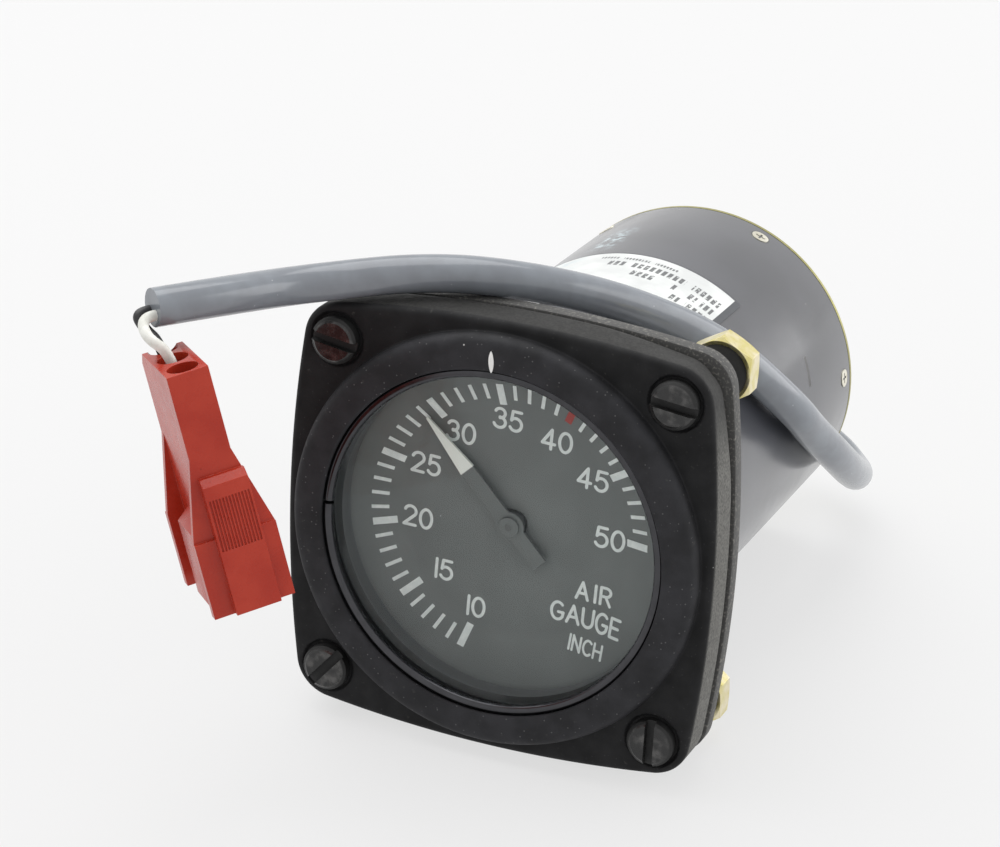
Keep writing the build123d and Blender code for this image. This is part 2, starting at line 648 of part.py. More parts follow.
def make_lamp_leads():
    tubes = []
    for side in (-1, 1):
        x = LEAD_X + side * LEAD_DIAMETER * 0.55
        end = GLAND_X + side * LEAD_DIAMETER * 0.6
        straight = [BOARD_REAR + (REAR_PLATE - BOARD_REAR) * share for share in LEAD_SHARES]
        points = [(x, BOARD_REAR, LEAD_Z)]
        points += [(x, depth, LEAD_Z - LEAD_SAG * (i % 2)) for i, depth in enumerate(straight, 1)]
        turn = REAR_PLATE + 2 * MOVEMENT_PLATE
        gland = COVER_FLOOR - GLAND_LIP
        far = gland - (gland - turn) * 0.45
        points += [(x, turn, LEAD_Z + LEAD_SAG), (end, (turn + far) / 2, (LEAD_Z + GLAND_Z) / 2),
                   (end, far, GLAND_Z),
                   (end, gland, GLAND_Z)]
        tubes.append(round_tube(points, LEAD_DIAMETER, "lamp_lead"))
    return group(tubes)


# Movement plates
def movement_disc(front):
    disc = rod(PLATE_RADIUS, front, front + MOVEMENT_PLATE)
    return disc - at(LEAD_X, LEAD_Z) * rod(LEAD_HOLE, front, front + MOVEMENT_PLATE)


def plate_hole(x, z, radius, front):
    return at(x, z) * rod(radius, front, front + MOVEMENT_PLATE)


def make_front_plate():
    body = movement_disc(FRONT_PLATE)
    body -= plate_hole(0, 0, SHAFT_RADIUS + RUN_GAP, FRONT_PLATE)
    body -= plate_hole(ROCKER_X, ROCKER_Z, PIVOT_RADIUS + RUN_GAP, FRONT_PLATE)
    for turn in PILLAR_TURNS:
        body -= plate_hole(*polar(PILLAR_CIRCLE, turn), SMALL_SCREW + RUN_GAP, FRONT_PLATE)
    for turn in LUG_TURNS:
        body -= plate_hole(*polar(LUG_SCREW_RADIUS, turn), SMALL_SCREW + RUN_GAP, FRONT_PLATE)
    return body


def make_middle_plate():
    body = movement_disc(MIDDLE_PLATE)
    body -= plate_hole(0, 0, PIVOT_RADIUS + RUN_GAP, MIDDLE_PLATE)
    body -= plate_hole(ROCKER_X, ROCKER_Z, ROCKER_RADIUS + 4 * SEAT_GAP, MIDDLE_PLATE)
    for turn in PILLAR_TURNS:
        body -= plate_hole(*polar(PILLAR_CIRCLE, turn), PILLAR_RADIUS + RUN_GAP, MIDDLE_PLATE)
    return body


def make_rear_plate():
    body = movement_disc(REAR_PLATE)
    body -= plate_hole(0, 0, PORT_BORE + 2, REAR_PLATE)
    body -= plate_hole(ROCKER_X, ROCKER_Z, PIVOT_RADIUS + RUN_GAP, REAR_PLATE)
    for turn in PILLAR_TURNS:
        body -= plate_hole(*polar(PILLAR_CIRCLE, turn), SMALL_SCREW + RUN_GAP, REAR_PLATE)
    return body


def make_pillars():
    front = FRONT_PLATE + MOVEMENT_PLATE
    deep = SMALL_SCREW_LONG + SEAT_GAP - MOVEMENT_PLATE
    hole = Circle(SMALL_SCREW + RUN_GAP)
    pillar = rod(PILLAR_RADIUS, front, REAR_PLATE)
    pillar -= slab(hole, front, front + deep) + slab(hole, REAR_PLATE - deep, REAR_PLATE)
    return group([at(*polar(PILLAR_CIRCLE, turn)) * pillar for turn in PILLAR_TURNS])


def make_movement_screws():
    front = rod(SMALL_SCREW_HEAD, FRONT_PLATE - SMALL_SCREW_HEAD_TALL, FRONT_PLATE)
    front += rod(SMALL_SCREW, FRONT_PLATE, FRONT_PLATE + SMALL_SCREW_LONG)
    front -= Pos(0, FRONT_PLATE - SMALL_SCREW_HEAD_TALL, 0) * Box(4, 0.6, 0.4)
    centre = (FRONT_PLATE + REAR_PLATE + MOVEMENT_PLATE) / 2
    rear = Pos(0, centre, 0) * Rotation(0, 0, 180) * Pos(0, -centre, 0) * front
    screws = [at(*polar(LUG_SCREW_RADIUS, turn)) * front for turn in LUG_TURNS]
    for turn in PILLAR_TURNS:
        place = at(*polar(PILLAR_CIRCLE, turn))
        screws += [place * front, place * rear]
    return group(screws)


# Gear train
def tooth(pitch_radius, turn, grow):
    """Straight sided tooth at an angle; grow is 1 outwards and its thickness leaves the backlash."""
    addendum = MODULE
    dedendum = 1.2 * MODULE
    half = pi * MODULE / 4 - GEAR_BACKLASH
    lean = tan(radians(PRESSURE_ANGLE))
    tip, root = pitch_radius + grow * addendum, pitch_radius - grow * dedendum
    tip_half, root_half = half - addendum * lean, half + dedendum * lean
    corners = [(root - MODULE / 2, -root_half), (root, -root_half), (tip, -tip_half), (tip, tip_half),
               (root, root_half),
               (root - MODULE / 2, root_half)]
    return Rotation(0, 0, turn) * Polygon(*corners, align=None)


def make_pinion_shaft():
    root = PINION_PITCH - 1.2 * MODULE
    profile = Circle(root)
    for i in range(PINION_TEETH):
        profile += tooth(PINION_PITCH, MESH_TURN + 360 / PINION_TEETH * (i + 0.5), 1)
    teeth = slab(profile, SECTOR_FRONT - 0.6, SECTOR_FRONT + SECTOR_THICK + 0.6)
    shaft = rod(SHAFT_RADIUS, POINTER_FRONT - 0.4, MIDDLE_PLATE - SEAT_GAP)
    pivot = rod(PIVOT_RADIUS, MIDDLE_PLATE - 1, MIDDLE_PLATE + MOVEMENT_PLATE - SEAT_GAP)
    collet = rod(SPRING_INNER - 0.4, MIDDLE_PLATE - 1.9, MIDDLE_PLATE - 1.0)
    return teeth + shaft + pivot + collet


def make_sector_gear():
    spread = 360 / GEAR_TEETH
    middle = MESH_TURN + 180
    root = GEAR_PITCH - 1.2 * MODULE
    rim_half = spread * SECTOR_TEETH / 2
    ray = 2 * GEAR_PITCH
    wedge = Polygon((0, 0), polar(ray, middle - rim_half), polar(ray, middle + rim_half), align=None)
    rim = (Circle(root) - Circle(root - 2)) & wedge
    spokes = Polygon((0, 0), polar(root - 1, middle - rim_half), polar(root - 1, middle - rim_half + 8),
                     polar(3, middle), polar(root - 1, middle + rim_half - 8),
                     polar(root - 1, middle + rim_half), align=None)
    profile = rim + spokes + Circle(2.4)
    for i in range(SECTOR_TEETH):
        profile += tooth(GEAR_PITCH, middle + spread * (i - (SECTOR_TEETH - 1) / 2), 1)
    body = slab(profile, SECTOR_FRONT, SECTOR_FRONT + SECTOR_THICK)
    body += rod(1.9, SECTOR_FRONT - 0.6, SECTOR_FRONT + SECTOR_THICK + 0.8)
    body -= rod(ROCKER_RADIUS, SECTOR_FRONT - 1, SECTOR_FRONT + 3)
    return at(ROCKER_X, ROCKER_Z) * body


def make_rocking_shaft():
    front = FRONT_PLATE + MOVEMENT_PLATE + 2 * SEAT_GAP
    rear = REAR_PLATE - 2 * SEAT_GAP
    body = rod(ROCKER_RADIUS, front, rear)
    body += rod(PIVOT_RADIUS, FRONT_PLATE + SEAT_GAP, REAR_PLATE + MOVEMENT_PLATE - SEAT_GAP)
    return at(ROCKER_X, ROCKER_Z) * body


def make_crank_arm():
    front = CAPSULE_DEPTH + LINK_THICK / 2 + 0.3
    rear = front + 1.2
    body = slab(Circle(1.8), front - 0.6, rear + 0.6)
    arm = Pos(-CRANK_LONG / 2, 0) * SlotOverall(CRANK_LONG + 2, 2)
    body += slab(arm, front, rear)
    body += Pos(-CRANK_LONG, 0, 0) * rod(CRANK_PIN, CAPSULE_DEPTH - LINK_THICK / 2 - 0.3, rear)
    body -= rod(ROCKER_RADIUS, front - 1, rear + 1)
    return at(ROCKER_X, ROCKER_Z) * body


# Capsules
def make_capsules():
    tall = (CAPSULE_TOP - CAPSULE_BOTTOM) / CAPSULE_COUNT
    neck = 2.5
    points = [(0, CAPSULE_BOTTOM), (neck, CAPSULE_BOTTOM)]
    for i in range(CAPSULE_COUNT):
        base = CAPSULE_BOTTOM + tall * i
        middle = base + tall / 2
        rise = tall * 0.17
        points += [(neck, base + rise), (6, base + rise), (7.5, base + rise * 1.7), (9, base + rise),
                   (10.5, base + rise * 1.7), (12, base + rise), (CAPSULE_RADIUS, middle - 0.3),
                   (CAPSULE_RADIUS, middle + 0.3), (12, base + tall - rise), (10.5, base + tall - rise * 1.7),
                   (9, base + tall - rise), (7.5, base + tall - rise * 1.7), (6, base + tall - rise),
                   (neck, base + tall - rise)]
    points += [(neck, CAPSULE_TOP), (0, CAPSULE_TOP)]
    face = Plane.XZ * make_face(Polyline(*points, close=True))
    return Pos(0, CAPSULE_DEPTH, 0) * revolve(face, Axis.Z)


def make_bracket():
    front = MIDDLE_PLATE + MOVEMENT_PLATE
    top = CAPSULE_BOTTOM - 1
    low = (Align.CENTER, Align.MIN, Align.MIN)
    strap = Pos(0, front, top - STRAP_THICK) * Box(STRAP_WIDE, REAR_PLATE - front, STRAP_THICK, align=low)
    tabs = Pos(0, front, top - STRAP_THICK) * Box(STRAP_WIDE, STRAP_THICK, TAB_TALL, align=low)
    tabs += Pos(0, REAR_PLATE - STRAP_THICK, top - STRAP_THICK) * Box(STRAP_WIDE, STRAP_THICK, TAB_TALL,
                                                                      align=low)
    stud = Pos(0, CAPSULE_DEPTH, top) * Cylinder(2.5, 1, align=(Align.CENTER, Align.CENTER, Align.MIN))
    return strap + tabs + stud


def make_link():
    low = (Align.CENTER, Align.CENTER, Align.MIN)
    foot = Pos(0, CAPSULE_DEPTH, CAPSULE_TOP) * Cylinder(2.0, 0.8, align=low)
    stem = Pos(0, CAPSULE_DEPTH, CAPSULE_TOP) * Cylinder(LINK_THICK / 2, ROCKER_Z - CAPSULE_TOP - 1,
                                                         align=low)
    front, rear = CAPSULE_DEPTH - LINK_THICK / 2, CAPSULE_DEPTH + LINK_THICK / 2
    hole = CRANK_PIN + LINK_PIN_PLAY
    eye = at(0, ROCKER_Z) * slab(Circle(hole + 0.6), front, rear)
    return foot + stem + eye - at(0, ROCKER_Z) * slab(Circle(hole), front - 1, rear + 1)


def make_hairspring():
    """Flat spiral: the radius grows by one pitch a turn, to a stud on the middle plate."""
    steps = 20 * SPRING_TURNS
    inner, outer = [], []
    for i in range(steps + 1):
        turn = 360 * SPRING_TURNS * i / steps
        radius = SPRING_INNER + SPRING_PITCH * SPRING_TURNS * i / steps
        inner.append(polar(radius - SPRING_THICK / 2, turn))
        outer.append(polar(radius + SPRING_THICK / 2, turn))
    strip = make_face(Polyline(*inner, *reversed(outer), close=True))
    rear = MIDDLE_PLATE - 1.1
    spring = slab(strip, rear - SPRING_TALL, rear)
    stud_place = SPRING_INNER + SPRING_PITCH * SPRING_TURNS
    return spring + at(stud_place, 0) * rod(0.4, rear - SPRING_TALL, MIDDLE_PLATE)


save(make_bezel(), "bezel")
save(make_snap_ring(), "snap_ring")
save(make_glass(), "glass")
save(make_glass_gasket(), "glass_gasket")
save(make_flange_gasket(), "flange_gasket")
save(make_mounting_screws(), "mounting_screws")
save(make_nut_collars(), "nut_collars")
save(make_mounting_nuts(), "mounting_nuts")
save(make_case(), "case_body")
save(make_label(), "label_plate")
save(make_rear_cover(), "rear_cover")
save(make_cover_seal(), "cover_seal")
save(make_cover_screws(), "cover_screws")
save(make_port_fitting(), "port_fitting")
save(make_gland(), "cable_gland")
save(round_tube(cable_points(), CABLE_DIAMETER, "cable"), "cable")
save(round_tube(wire_points(0.9, (0.1, -1.8, 0.5), 1), WIRE_DIAMETER, "white_wire"), "white_wire")
save(round_tube(wire_points(-0.9, (-1.0, -1.2, 0.9), 2), WIRE_DIAMETER, "black_wire"), "black_wire")
save(make_housing(), "connector_housing")
save(make_terminals(), "connector_terminals")
save(make_dial(), "dial")
save(make_ticks(), "dial_ticks")
save(make_pointer(), "pointer")
save(make_lamp_board(), "lamp_board")
save(make_lamps(), "lamps")
save(make_lamp_leads(), "lamp_leads")
save(make_front_plate(), "front_plate")
save(make_middle_plate(), "middle_plate")
save(make_rear_plate(), "rear_plate")
save(make_pillars(), "plate_pillars")
save(make_movement_screws(), "movement_screws")
save(make_pinion_shaft(), "pinion_shaft")
save(make_hairspring(), "hairspring")
save(make_rocking_shaft(), "rocking_shaft")
save(make_sector_gear(), "sector_gear")
save(make_crank_arm(), "crank_arm")
save(make_capsules(), "capsule_stack")
save(make_bracket(), "capsule_bracket")
save(make_link(), "capsule_link")
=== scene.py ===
import bmesh
import bpy
import numpy as np
from mathutils import Matrix


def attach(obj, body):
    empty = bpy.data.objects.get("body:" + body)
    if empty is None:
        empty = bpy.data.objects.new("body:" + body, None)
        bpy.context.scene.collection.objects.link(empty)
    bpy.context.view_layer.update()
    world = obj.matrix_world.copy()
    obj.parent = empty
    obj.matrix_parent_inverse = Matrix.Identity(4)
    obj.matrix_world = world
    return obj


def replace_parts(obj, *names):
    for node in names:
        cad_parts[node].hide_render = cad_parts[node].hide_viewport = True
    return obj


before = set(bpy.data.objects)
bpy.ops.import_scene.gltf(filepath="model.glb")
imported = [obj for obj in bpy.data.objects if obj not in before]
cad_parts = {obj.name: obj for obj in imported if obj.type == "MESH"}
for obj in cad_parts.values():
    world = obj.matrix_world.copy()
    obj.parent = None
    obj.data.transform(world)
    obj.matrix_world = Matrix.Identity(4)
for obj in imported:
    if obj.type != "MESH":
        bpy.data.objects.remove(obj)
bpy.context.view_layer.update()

# Camera.
# It stands in front, to the right and a little above, 0.4 m from the flange.
camera_data = bpy.data.cameras.new("camera")
camera_data.sensor_width = 36
camera_data.lens = 111.636
camera_data.clip_start = 0.01
camera = bpy.data.objects.new("camera", camera_data)
camera.matrix_world = Matrix((
    (0.917553, -0.182762, 0.353120, 0.140746),
    (0.395009, 0.317525, -0.862059, -0.343635),
    (0.045427, 0.930471, 0.363538, 0.161259),
    (0, 0, 0, 1)))
bpy.context.scene.collection.objects.link(camera)
bpy.context.scene.camera = camera

# Lighting cable.
# One round grey jacketed cable leaves the gland in the rear cover, turns round the
# rim, lies along the case and over the flange, and ends in a square cut.
MM = 0.001


class Field:
    """One value in a material. Arithmetic on it adds the Math nodes that work it out."""

    def __init__(self, paint, socket):
        self.paint, self.socket = paint, socket

    def math(self, operation, *others):
        return self.paint.math(operation, self, *others)

    def __add__(self, other):
        return self.paint.math("ADD", self, other)

    def __radd__(self, other):
        return self.paint.math("ADD", other, self)

    def __sub__(self, other):
        return self.paint.math("SUBTRACT", self, other)

    def __rsub__(self, other):
        return self.paint.math("SUBTRACT", other, self)

    def __mul__(self, other):
        return self.paint.math("MULTIPLY", self, other)

    def __rmul__(self, other):
        return self.paint.math("MULTIPLY", other, self)

    def __truediv__(self, other):
        return self.paint.math("DIVIDE", self, other)

    def off(self, centre):
        """Distance from a centre value, whichever side."""
        return (self - centre).math("ABSOLUTE")

    def ramp(self, start, end):
        """0 at start, 1 at end, smooth between them; start may be the larger of the two."""
        first, last, at_first, at_last = (start, end, 0, 1) if start < end else (end, start, 1, 0)
        settings = {"interpolation_type": "SMOOTHSTEP", "clamp": True}
        sockets = {0: self, 1: first, 2: last, 3: at_first, 4: at_last}
        return self.paint.node("ShaderNodeMapRange", settings, sockets)


class Paint:
    """The nodes of one material, or of the room."""

    def __init__(self, name, library=bpy.data.materials, output="ShaderNodeOutputMaterial"):
        self.holder = library.new(name)
        self.holder.use_nodes = True
        self.tree = self.holder.node_tree
        self.tree.nodes.clear()
        self.output = self.tree.nodes.new(output)

    def node(self, kind, settings, inputs, out=0):
        """Adds a node: its type, its settings, then the value or link of each socket. Gives one output."""
        node = self.tree.nodes.new(kind)
        for key, value in settings.items():
            setattr(node, key, value)
        for key, value in inputs.items():
            if isinstance(value, Field):
                self.tree.links.new(value.socket, node.inputs[key])
            else:
                node.inputs[key].default_value = value
        return Field(self, node.outputs[out])

    def math(self, operation, *values):
        return self.node("ShaderNodeMath", {"operation": operation}, dict(enumerate(values)))

    def place(self):
        return self.node("ShaderNodeTexCoord", {}, {}, "Object")

    def axis(self, letter):
        return self.node("ShaderNodeSeparateXYZ", {}, {0: self.place()}, letter)

    def off_axis(self):
        """Distance from the instrument's axis, the root of x squared and z squared."""
        x, z = self.axis("X"), self.axis("Z")
        return (x * x + z * z).math("SQRT")

    def degrees(self):
        """Angle round the instrument's axis, from the right through the top."""
        return self.axis("Z").math("ARCTAN2", self.axis("X")) * (180 / np.pi)

    def stretched(self, x, y, z):
        return self.node("ShaderNodeMapping", {}, {"Vector": self.place(), "Scale": (x, y, z)})

    def noise(self, grain_mm, detail=2.0, at=None):
        """Cloudy value from 0 to 1 with a grain of that many millimetres."""
        sockets = {"Vector": at or self.place(), "Scale": 1 / (grain_mm * MM), "Detail": detail}
        return self.node("ShaderNodeTexNoise", {}, sockets, "Fac")

    def specks(self, pitch_mm, share, size):
        """1 in small round specks, in that share of the cells of that pitch."""
        settings = {"feature": "F1"}
        sockets = {"Vector": self.place(), "Scale": 1 / (pitch_mm * MM), "Randomness": 1.0}
        near = self.node("ShaderNodeTexVoronoi", settings, sockets, "Distance").ramp(size, size * 0.6)
        pick = self.node("ShaderNodeTexVoronoi", settings, sockets, "Color")
        chosen = self.node("ShaderNodeSeparateColor", {}, {0: pick}, "Red").ramp(share + 0.01, share)
        return near * chosen

    def mix(self, share, first, second):
        return self.node("ShaderNodeMix", {"data_type": "RGBA"}, {0: share, 6: first, 7: second}, 2)

    def bump(self, height, depth_mm, strength):
        sockets = {"Strength": strength, "Distance": depth_mm * MM, "Height": height}
        return self.node("ShaderNodeBump", {}, sockets, "Normal")

    def principled(self, **sockets):
        """The Principled shader; socket names are written with underscores for spaces."""
        inputs = {key.replace("_", " "): value for key, value in sockets.items()}
        return self.node("ShaderNodeBsdfPrincipled", {}, inputs, "BSDF")

    def show(self, shader):
        self.tree.links.new(shader.socket, self.output.inputs["Surface"])
        return self.holder

    def finish(self, **sockets):
        return self.show(self.principled(**sockets))


def shade(code):
    """Linear colour of a written sRGB colour: the standard curve, a straight foot and a power of 2.4."""
    values = np.array([int(code[i:i + 2], 16) for i in (0, 2, 4)]) / 255
    return (*np.where(values < 0.04045, values / 12.92, ((values + 0.055) / 1.055) ** 2.4).tolist(), 1.0)


def cord_curve(name, points_mm, diameter_mm, material):
    """Round cord as one quadratic NURBS spline that has the route's corners as its control points."""
    curve = bpy.data.curves.new(name, "CURVE")
    curve.dimensions = "3D"
    curve.resolution_u = 16
    curve.bevel_depth = diameter_mm * MM / 2
    curve.bevel_resolution = 8
    curve.use_fill_caps = True
    spline = curve.splines.new("NURBS")
    spline.points.add(len(points_mm) - 1)
    places = np.column_stack([np.array(points_mm) * MM, np.ones(len(points_mm))])
    spline.points.foreach_set("co", places.astype(np.float32).ravel())
    spline.order_u = 3
    spline.use_endpoint_u = True
    piece = bpy.data.objects.new(name, curve)
    piece.data.materials.append(material)
    bpy.context.scene.collection.objects.link(piece)
    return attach(piece, "base")


CABLE_DIAMETER = 5.05
CABLE_ROUTE = [(5, 79.5, -8), (5, 86.2, -8), (10.5, 91.2, -10.5), (19, 91, -14.5), (24.6, 85.5, -16.2),
               (27, 74, -11.6), (28.2, 59.2, -3.2), (26.9, 49.6, 3.8), (26.3, 42.2, 9.5), (18.7, 32, 20.7),
               (8, 22.5, 27.5), (-1.6, 12.1, 31.9), (-13.1, 6.1, 33), (-26.8, -0.4, 30.9), (-34, -15.5, 32),
               (-38.8, -21.7, 31.7)]
paint = Paint("grey jacket")
grey = paint.mix(paint.noise(3, 2).ramp(0.35, 0.7), shade("787c82"), shade("7f848a"))
grey = paint.mix(paint.specks(0.9, 0.07, 0.12) * 0.6, grey, shade("c3c5c5"))
grey = paint.mix(paint.noise(12, 2).ramp(0.55, 0.72) * 0.3, grey, shade("6c7076"))
grey_jacket = paint.finish(Base_Color=grey, Roughness=0.13 + 0.1 * paint.noise(1.6, 3), IOR=1.55,
                           Normal=paint.bump(paint.noise(2.5, 2), 0.015, 0.3))
cable = cord_curve("lighting_cable", CABLE_ROUTE, CABLE_DIAMETER, grey_jacket)
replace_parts(cable, "cable")

# Wires.
# A white and a black insulated wire leave the jacket's cut end, turn back under it
# and go into the middle and the far circuit of the housing. The near one is empty.


def unit(vector):
    return vector / np.linalg.norm(vector)


HOUSING_CORNER = np.array([-31.05, -32.11, 27.08])
housing_up = unit(np.array([-0.26, -0.07, 0.96]))
housing_across = np.array([0.70, 0.67, 0.24])
housing_across = unit(housing_across - housing_up * (housing_across @ housing_up))
HOUSING_AXES = np.array([housing_across, np.cross(housing_up, housing_across), housing_up])
HOUSING_STRETCH = 1.07
CIRCUIT_MIDDLE, CIRCUIT_FIRST, CIRCUIT_PITCH = 2.7, 2.4, 4.9
WIRE_DIAMETER = 1.4
WIRE_BELOW_AXIS = 0.7
WIRE_STRAIGHT = 1.9
WIRE_TURNS_ABOVE, WIRE_ENDS_BELOW = 0.6, 5.0


def circuit_place(index, down):
    """Point on a circuit's axis, a distance below the top of the housing."""
    deep = (CIRCUIT_FIRST + CIRCUIT_PITCH * index) * HOUSING_STRETCH
    return HOUSING_CORNER + HOUSING_AXES.T @ np.array([CIRCUIT_MIDDLE, deep, -down])


def wire_route(side, bulge, index):
    """From the end of the jacket straight out, round by a bulge, and down into a circuit."""
    tip, last = np.array(CABLE_ROUTE[-1], float), np.array(CABLE_ROUTE[-2], float)
    out_of = unit(tip - last)
    across = unit(np.array([1.0, 0, 0]) - out_of * out_of[0])
    start = tip + across * side - np.cross(out_of, across) * WIRE_BELOW_AXIS
    out = start + out_of * WIRE_STRAIGHT
    mouth = circuit_place(index, -WIRE_TURNS_ABOVE)
    return [start, out, (out + mouth) / 2 + np.array(bulge), mouth, circuit_place(index, WIRE_ENDS_BELOW)]


def insulation(name, dark, light):
    """Matt plastic over a wire, its tone clouded between two colours."""
    paint = Paint(name)
    tone = paint.mix(paint.noise(1.6, 3).ramp(0.3, 0.7), shade(dark), shade(light))
    return paint.finish(Base_Color=tone, Roughness=0.35 + 0.2 * paint.noise(0.8, 2),
                        Normal=paint.bump(paint.noise(0.5, 2), 0.01, 0.5))


white_wire = cord_curve("wire_white", wire_route(0.9, (-0.5, -1.8, 0.2), 1), WIRE_DIAMETER,
                        insulation("white insulation", "d2d2ca", "eeeee8"))
black_wire = cord_curve("wire_black", wire_route(-0.9, (-0.3, -1.2, 0.6), 2), WIRE_DIAMETER,
                        insulation("black insulation", "141416", "232326"))
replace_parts(white_wire, "white_wire")
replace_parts(black_wire, "black_wire")

# Connector housing.
# One moulding in red nylon: three round circuits in a row, thin flared fins with a
# block between them, a skirt at the mating end, and a ribbed latch pad at each end.


SHARP_EDGE = np.radians(35)


def dressed(node, name, material, edge_mm, body="base"):
    """Copy of a CAD node with its flat faces joined and its edges broken."""
    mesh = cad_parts[node].data.copy()
    work = bmesh.new()
    work.from_mesh(mesh)
    bmesh.ops.remove_doubles(work, verts=work.verts, dist=2e-6)
    bmesh.ops.dissolve_limit(work, angle_limit=np.radians(1.0), verts=work.verts, edges=work.edges)
    bmesh.ops.recalc_face_normals(work, faces=work.faces)
    work.to_mesh(mesh)
    work.free()
    mesh.materials.clear()
    mesh.materials.append(material)
    mesh.shade_smooth()
    mesh.set_sharp_from_angle(angle=SHARP_EDGE)
    piece = bpy.data.objects.new(name, mesh)
    bpy.context.scene.collection.objects.link(piece)
    if edge_mm:
        edge = piece.modifiers.new("broken edges", "BEVEL")
        edge.width = edge_mm * MM
        edge.segments = 3
        edge.limit_method = "ANGLE"
        edge.angle_limit = SHARP_EDGE
        edge.harden_normals = True
    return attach(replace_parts(piece, node), body)


def reshaped(piece, change):
    """Passes all corners of a piece, in millimetres, through a function that gives their new places."""
    corners = piece.data.vertices
    places = np.empty(len(corners) * 3, np.float32)
    corners.foreach_get("co", places)
    places = change(places.reshape(-1, 3) / MM) * MM
    corners.foreach_set("co", places.astype(np.float32).ravel())
    piece.data.update()
    return piece


HOUSING_WIDE = 5.4
RAIL_TOP, BLOCK_TOP, BLOCK_SIDE = -11.0, -20.2, -1.7
NEAR_RAIL, NEAR_FIN = 3.3, 1.0
FAR_RAIL, FAR_FIN = 11.2, 13.4
MIDDLE_RAIL, BLOCK = (6.25, 8.25), (2.6, 10.4)


def fins_and_block(places):
    """Rails to fins and block, in the housing's own axes: wide, deep and up from its near top corner."""
    wide, deep, tall = ((places - HOUSING_CORNER) @ HOUSING_AXES.T).T
    outside = (wide < 0.05) | (wide > HOUSING_WIDE - 0.05)
    near, far, block_near, block_far = [outside & (np.abs(deep - face) < 0.01)
                                        for face in (NEAR_RAIL, FAR_RAIL, *MIDDLE_RAIL)]
    block = block_near | block_far
    deep[near], deep[far], deep[block_near], deep[block_far] = NEAR_FIN, FAR_FIN, *BLOCK
    wide[block & (tall < -20) & (wide < 0)] = BLOCK_SIDE
    tall[block & (np.abs(tall - RAIL_TOP) < 0.3)] = BLOCK_TOP
    return np.column_stack([wide, deep * HOUSING_STRETCH, tall]) @ HOUSING_AXES + HOUSING_CORNER


paint = Paint("red nylon")
red = paint.mix(paint.noise(6, 3).ramp(0.3, 0.7), shade("a42c1b"), shade("b03724"))
red = paint.mix(paint.specks(1.6, 0.16, 0.13) * 0.6, red, shade("5f160e"))
red = paint.mix(paint.noise(1.2, 4).ramp(0.62, 0.8) * 0.2, red, shade("bf5040"))
red_nylon = paint.finish(Base_Color=red, Roughness=0.2 + 0.16 * paint.noise(1.5, 3), Specular_IOR_Level=0.3,
                         Normal=paint.bump(paint.noise(0.5, 3), 0.008, 0.4))
housing = reshaped(dressed("connector_housing", "housing", red_nylon, 0.16), fins_and_block)

# Connector terminals.
# Two turned brass sockets, crimped on the wires and pushed into the middle and the
# far circuit.


def metal(name, dark, light, rough):
    """Bare metal with a fine grain, its tone clouded between two colours."""
    paint = Paint(name)
    tone = paint.mix(paint.noise(2, 4).ramp(0.3, 0.7), shade(dark), shade(light))
    return paint.finish(Base_Color=tone, Metallic=1.0, Roughness=rough + 0.2 * paint.noise(0.5, 3),
                        Normal=paint.bump(paint.noise(0.5, 3), 0.004, 0.6))


def painted(node, material):
    """A CAD piece that is shown as it is, in its own finish."""
    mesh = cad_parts[node].data
    mesh.materials.clear()
    mesh.materials.append(material)


brass = metal("turned brass", "a88a4c", "cbb06c", 0.25)
painted("connector_terminals", brass)

# Dial.
# A dished sheet: flat in the middle, coned up towards the glass at the rim, painted
# matt grey. It sits against the back of the glass ledge.


def skin(name, rows, material, wrap=True, caps=False):
    """Surface over a grid of points in millimetres: rows by columns, the columns closed when wrap is set."""
    rows = np.asarray(rows, float)
    count, columns = rows.shape[:2]
    index = np.arange(count * columns).reshape(count, columns)
    right = np.roll(index, -1, axis=1) if wrap else index[:, 1:]
    left = index if wrap else index[:, :-1]
    faces = np.stack([left[:-1], right[:-1], right[1:], left[1:]], axis=-1).reshape(-1, 4).tolist()
    if caps:
        faces += [index[0][::-1].tolist(), index[-1].tolist()]
    mesh = bpy.data.meshes.new(name)
    mesh.from_pydata((rows.reshape(-1, 3) * MM).tolist(), [], faces)
    work = bmesh.new()
    work.from_mesh(mesh)
    bmesh.ops.remove_doubles(work, verts=work.verts, dist=1e-7)
    bmesh.ops.recalc_face_normals(work, faces=work.faces)
    work.to_mesh(mesh)
    work.free()
    mesh.materials.append(material)
    mesh.shade_smooth()
    mesh.set_sharp_from_angle(angle=SHARP_EDGE)
    piece = bpy.data.objects.new(name, mesh)
    bpy.context.scene.collection.objects.link(piece)
    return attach(piece, "base")


def row_round(reach, depth, turn):
    """One row round Y: its distance from the axis and its depth, each one value or one for each angle."""
    return np.column_stack([reach * np.cos(turn), depth + 0 * turn, reach * np.sin(turn)])


def lathe(profile, columns):
    """Rows of a body turned about Y: each profile point is a radius and a depth."""
    turn = np.linspace(0, 2 * np.pi, columns, endpoint=False)
    return [row_round(radius, depth, turn) for radius, depth in profile]


def rounded(corners, radii, steps=6):
    """Open profile whose corners are replaced by quadratic arcs that start a radius away from them."""
    corners = [np.array(c, float) for c in corners]
    line = [corners[0]]
    for before, corner, after, radius in zip(corners, corners[1:], corners[2:], radii):
        if radius == 0:
            line.append(corner)
            continue
        a = corner + unit(before - corner) * min(radius, np.linalg.norm(before - corner) / 2)
        b = corner + unit(after - corner) * min(radius, np.linalg.norm(after - corner) / 2)
        t = np.linspace(0, 1, steps + 1)[:, None]
        line.extend((1 - t) ** 2 * a + 2 * t * (1 - t) * corner + t ** 2 * b)
    line.append(corners[-1])
    return np.array(line)


